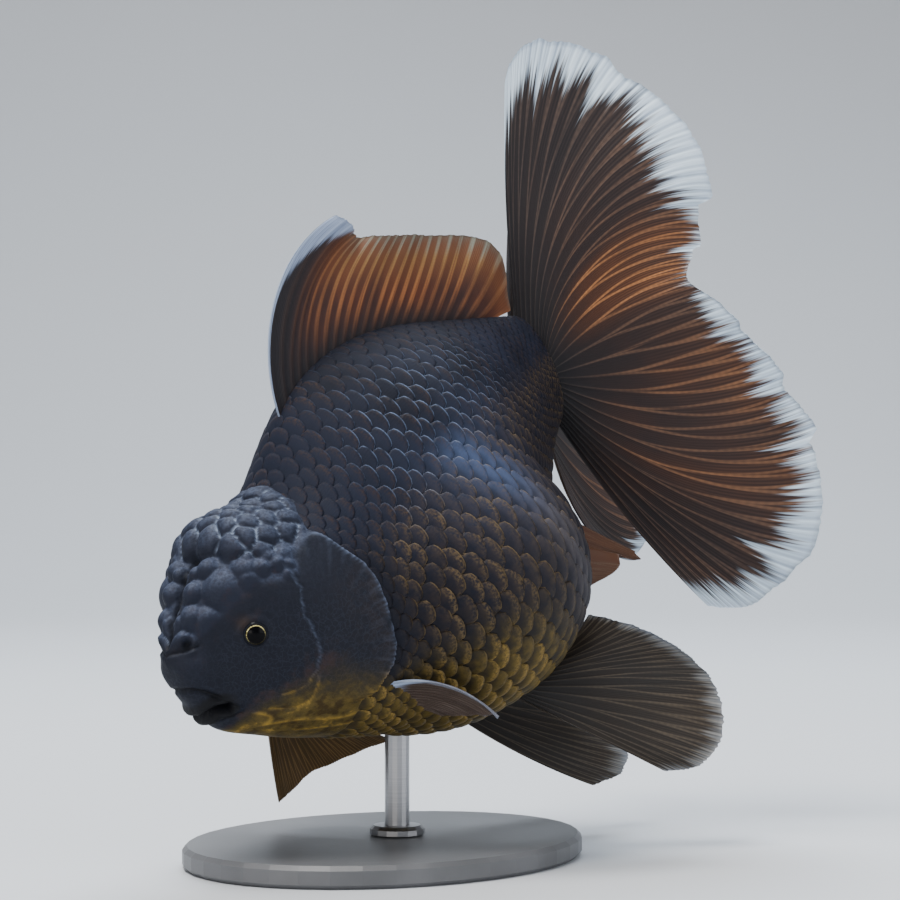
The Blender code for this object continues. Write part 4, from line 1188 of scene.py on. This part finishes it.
# ---- Stand, floor, light and camera
CAMERA_AZIMUTH, CAMERA_DISTANCE, CAMERA_LENS = -46.68, 0.5, 110.4
CAMERA_TARGET = Vector((0.00763, -0.00888, 0.0741))
LAMPS = (  # name; how far right, up and towards the camera from its target; size, power, colour
    ("key", (-0.25, 0.85, 0.20), 0.45, 15.0, (1.0, 0.98, 0.95)),
    ("rim", (0.10, 0.75, -0.55), 0.5, 11.0, (0.84, 0.92, 1.0)),
    ("fill", (0.7, 0.15, 0.5), 0.7, 4.5, (0.95, 0.97, 1.0)),
    ("low", (-0.45, -0.02, 0.6), 0.35, 2.2, (1.0, 0.96, 0.90)),
)
SKY, SKY_STRENGTH = (0.80, 0.86, 0.95, 1), 0.32
PAINT_DARK, PAINT_LIGHT = (0.085, 0.087, 0.092), (0.12, 0.122, 0.13)
STEEL_DARK, STEEL_LIGHT = (0.26, 0.26, 0.27), (0.38, 0.38, 0.39)
FLOOR_DARK, FLOOR_LIGHT = (0.56, 0.58, 0.61), (0.60, 0.62, 0.65)


def plate_material():
    """Dark satin paint."""
    paint = Paint("stand_paint")
    place = paint.object_place()
    wide = paint.noise(place, 60.0)
    return paint.finish({
        "Base Color": paint.mix(PAINT_DARK, PAINT_LIGHT, wide.step(0.3, 0.7)),
        "Roughness": 0.38 + 0.12 * wide,
        "Normal": paint.bump(paint.noise(place, 900.0, 2.0), 0.00006, 0.4),
    })


def rod_material():
    """Steel, brushed round the rod."""
    paint = Paint("stand_steel")
    brushed = paint.noise(paint.object_place() * (40, 40, 2600), 1.0, 2.0)
    return paint.finish({
        "Base Color": paint.mix(STEEL_DARK, STEEL_LIGHT, brushed),
        "Metallic": 1.0,
        "Roughness": 0.30 + 0.14 * brushed,
        "Normal": paint.bump(brushed, 0.00002, 0.3),
    })


def make_floor():
    """A pale floor that sweeps up behind the model."""
    paint = Paint("studio_floor")
    soft = paint.noise(paint.object_place(), 3.0)
    colour = paint.mix(FLOOR_DARK, FLOOR_LIGHT, soft)
    paint.finish({"Base Color": colour, "Roughness": 0.6, "Specular IOR Level": 0.2})
    away = np.array([math.sin(math.radians(CAMERA_AZIMUTH)), -math.cos(math.radians(CAMERA_AZIMUTH))])
    across = np.array([away[1], -away[0]])
    sweep = [(1.2 - 1.9 * k / 10, 0.0) for k in range(11)]
    turns = np.linspace(0, math.pi / 2, 17)[1:]
    sweep += [(-0.7 - 0.5 * math.sin(turn), 0.5 - 0.5 * math.cos(turn)) for turn in turns]
    sweep += [(-1.2, 0.5 + 0.25 * k) for k in range(1, 7)]
    points = []
    for back, up in sweep:
        for side in (-2.2, 0.0, 2.2):
            flat = away * back + across * side
            points.append((flat[0], flat[1], up))
    mesh = bpy.data.meshes.new("studio_floor")
    mesh.from_pydata(points, [], grid_faces(len(sweep), 3).tolist())
    mesh.shade_smooth()
    mesh.materials.append(paint.material)
    add_object("studio_floor", mesh)


def camera_axes():
    turn = math.radians(CAMERA_AZIMUTH)
    right = Vector((math.cos(turn), math.sin(turn), 0))
    back = Vector((math.sin(turn), -math.cos(turn), 0))
    return right, Vector((0, 0, 1)), back


def make_camera():
    right, up, back = camera_axes()
    data = bpy.data.cameras.new("camera")
    data.lens, data.sensor_width, data.clip_start = CAMERA_LENS, 36, 0.01
    camera = add_object("camera", data)
    camera.location = CAMERA_TARGET + back * CAMERA_DISTANCE
    camera.rotation_euler = Matrix((right, up, back)).transposed().to_euler()
    bpy.context.scene.camera = camera


def make_light():
    """Soft square lamps, placed from the camera's point of view and aimed at the fish, and a pale sky."""
    right, up, back = camera_axes()
    for name, shift, size, power, colour in LAMPS:
        data = bpy.data.lights.new(name, "AREA")
        data.size, data.energy, data.color = size, power, colour
        lamp = add_object(name, data)
        place = right * shift[0] + up * shift[1] + back * shift[2]
        lamp.location = CAMERA_TARGET + place
        lamp.rotation_euler = place.to_track_quat("Z", "Y").to_euler()
    world = bpy.data.worlds.new("studio")
    world.use_nodes = True
    background = world.node_tree.nodes["Background"]
    background.inputs["Color"].default_value = SKY
    background.inputs["Strength"].default_value = SKY_STRENGTH
    bpy.context.scene.world = world


# ---- Build
make_camera()
make_floor()
make_light()
skin = make_skin()
flesh = ["head", "trunk", "tail_stem", "wen_crown", "upper_lip", "lower_lip"]
for node in ("wen_brow", "cheek", "gill_cover", "nostril"):
    flesh += [f"{node}_left", f"{node}_right"]
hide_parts(*flesh)
make_scales()
make_fins()
make_eyes()
for node, material in (("stand_base", plate_material()), ("stand_rod", rod_material())):
    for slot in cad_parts[node].material_slots:
        slot.material = material
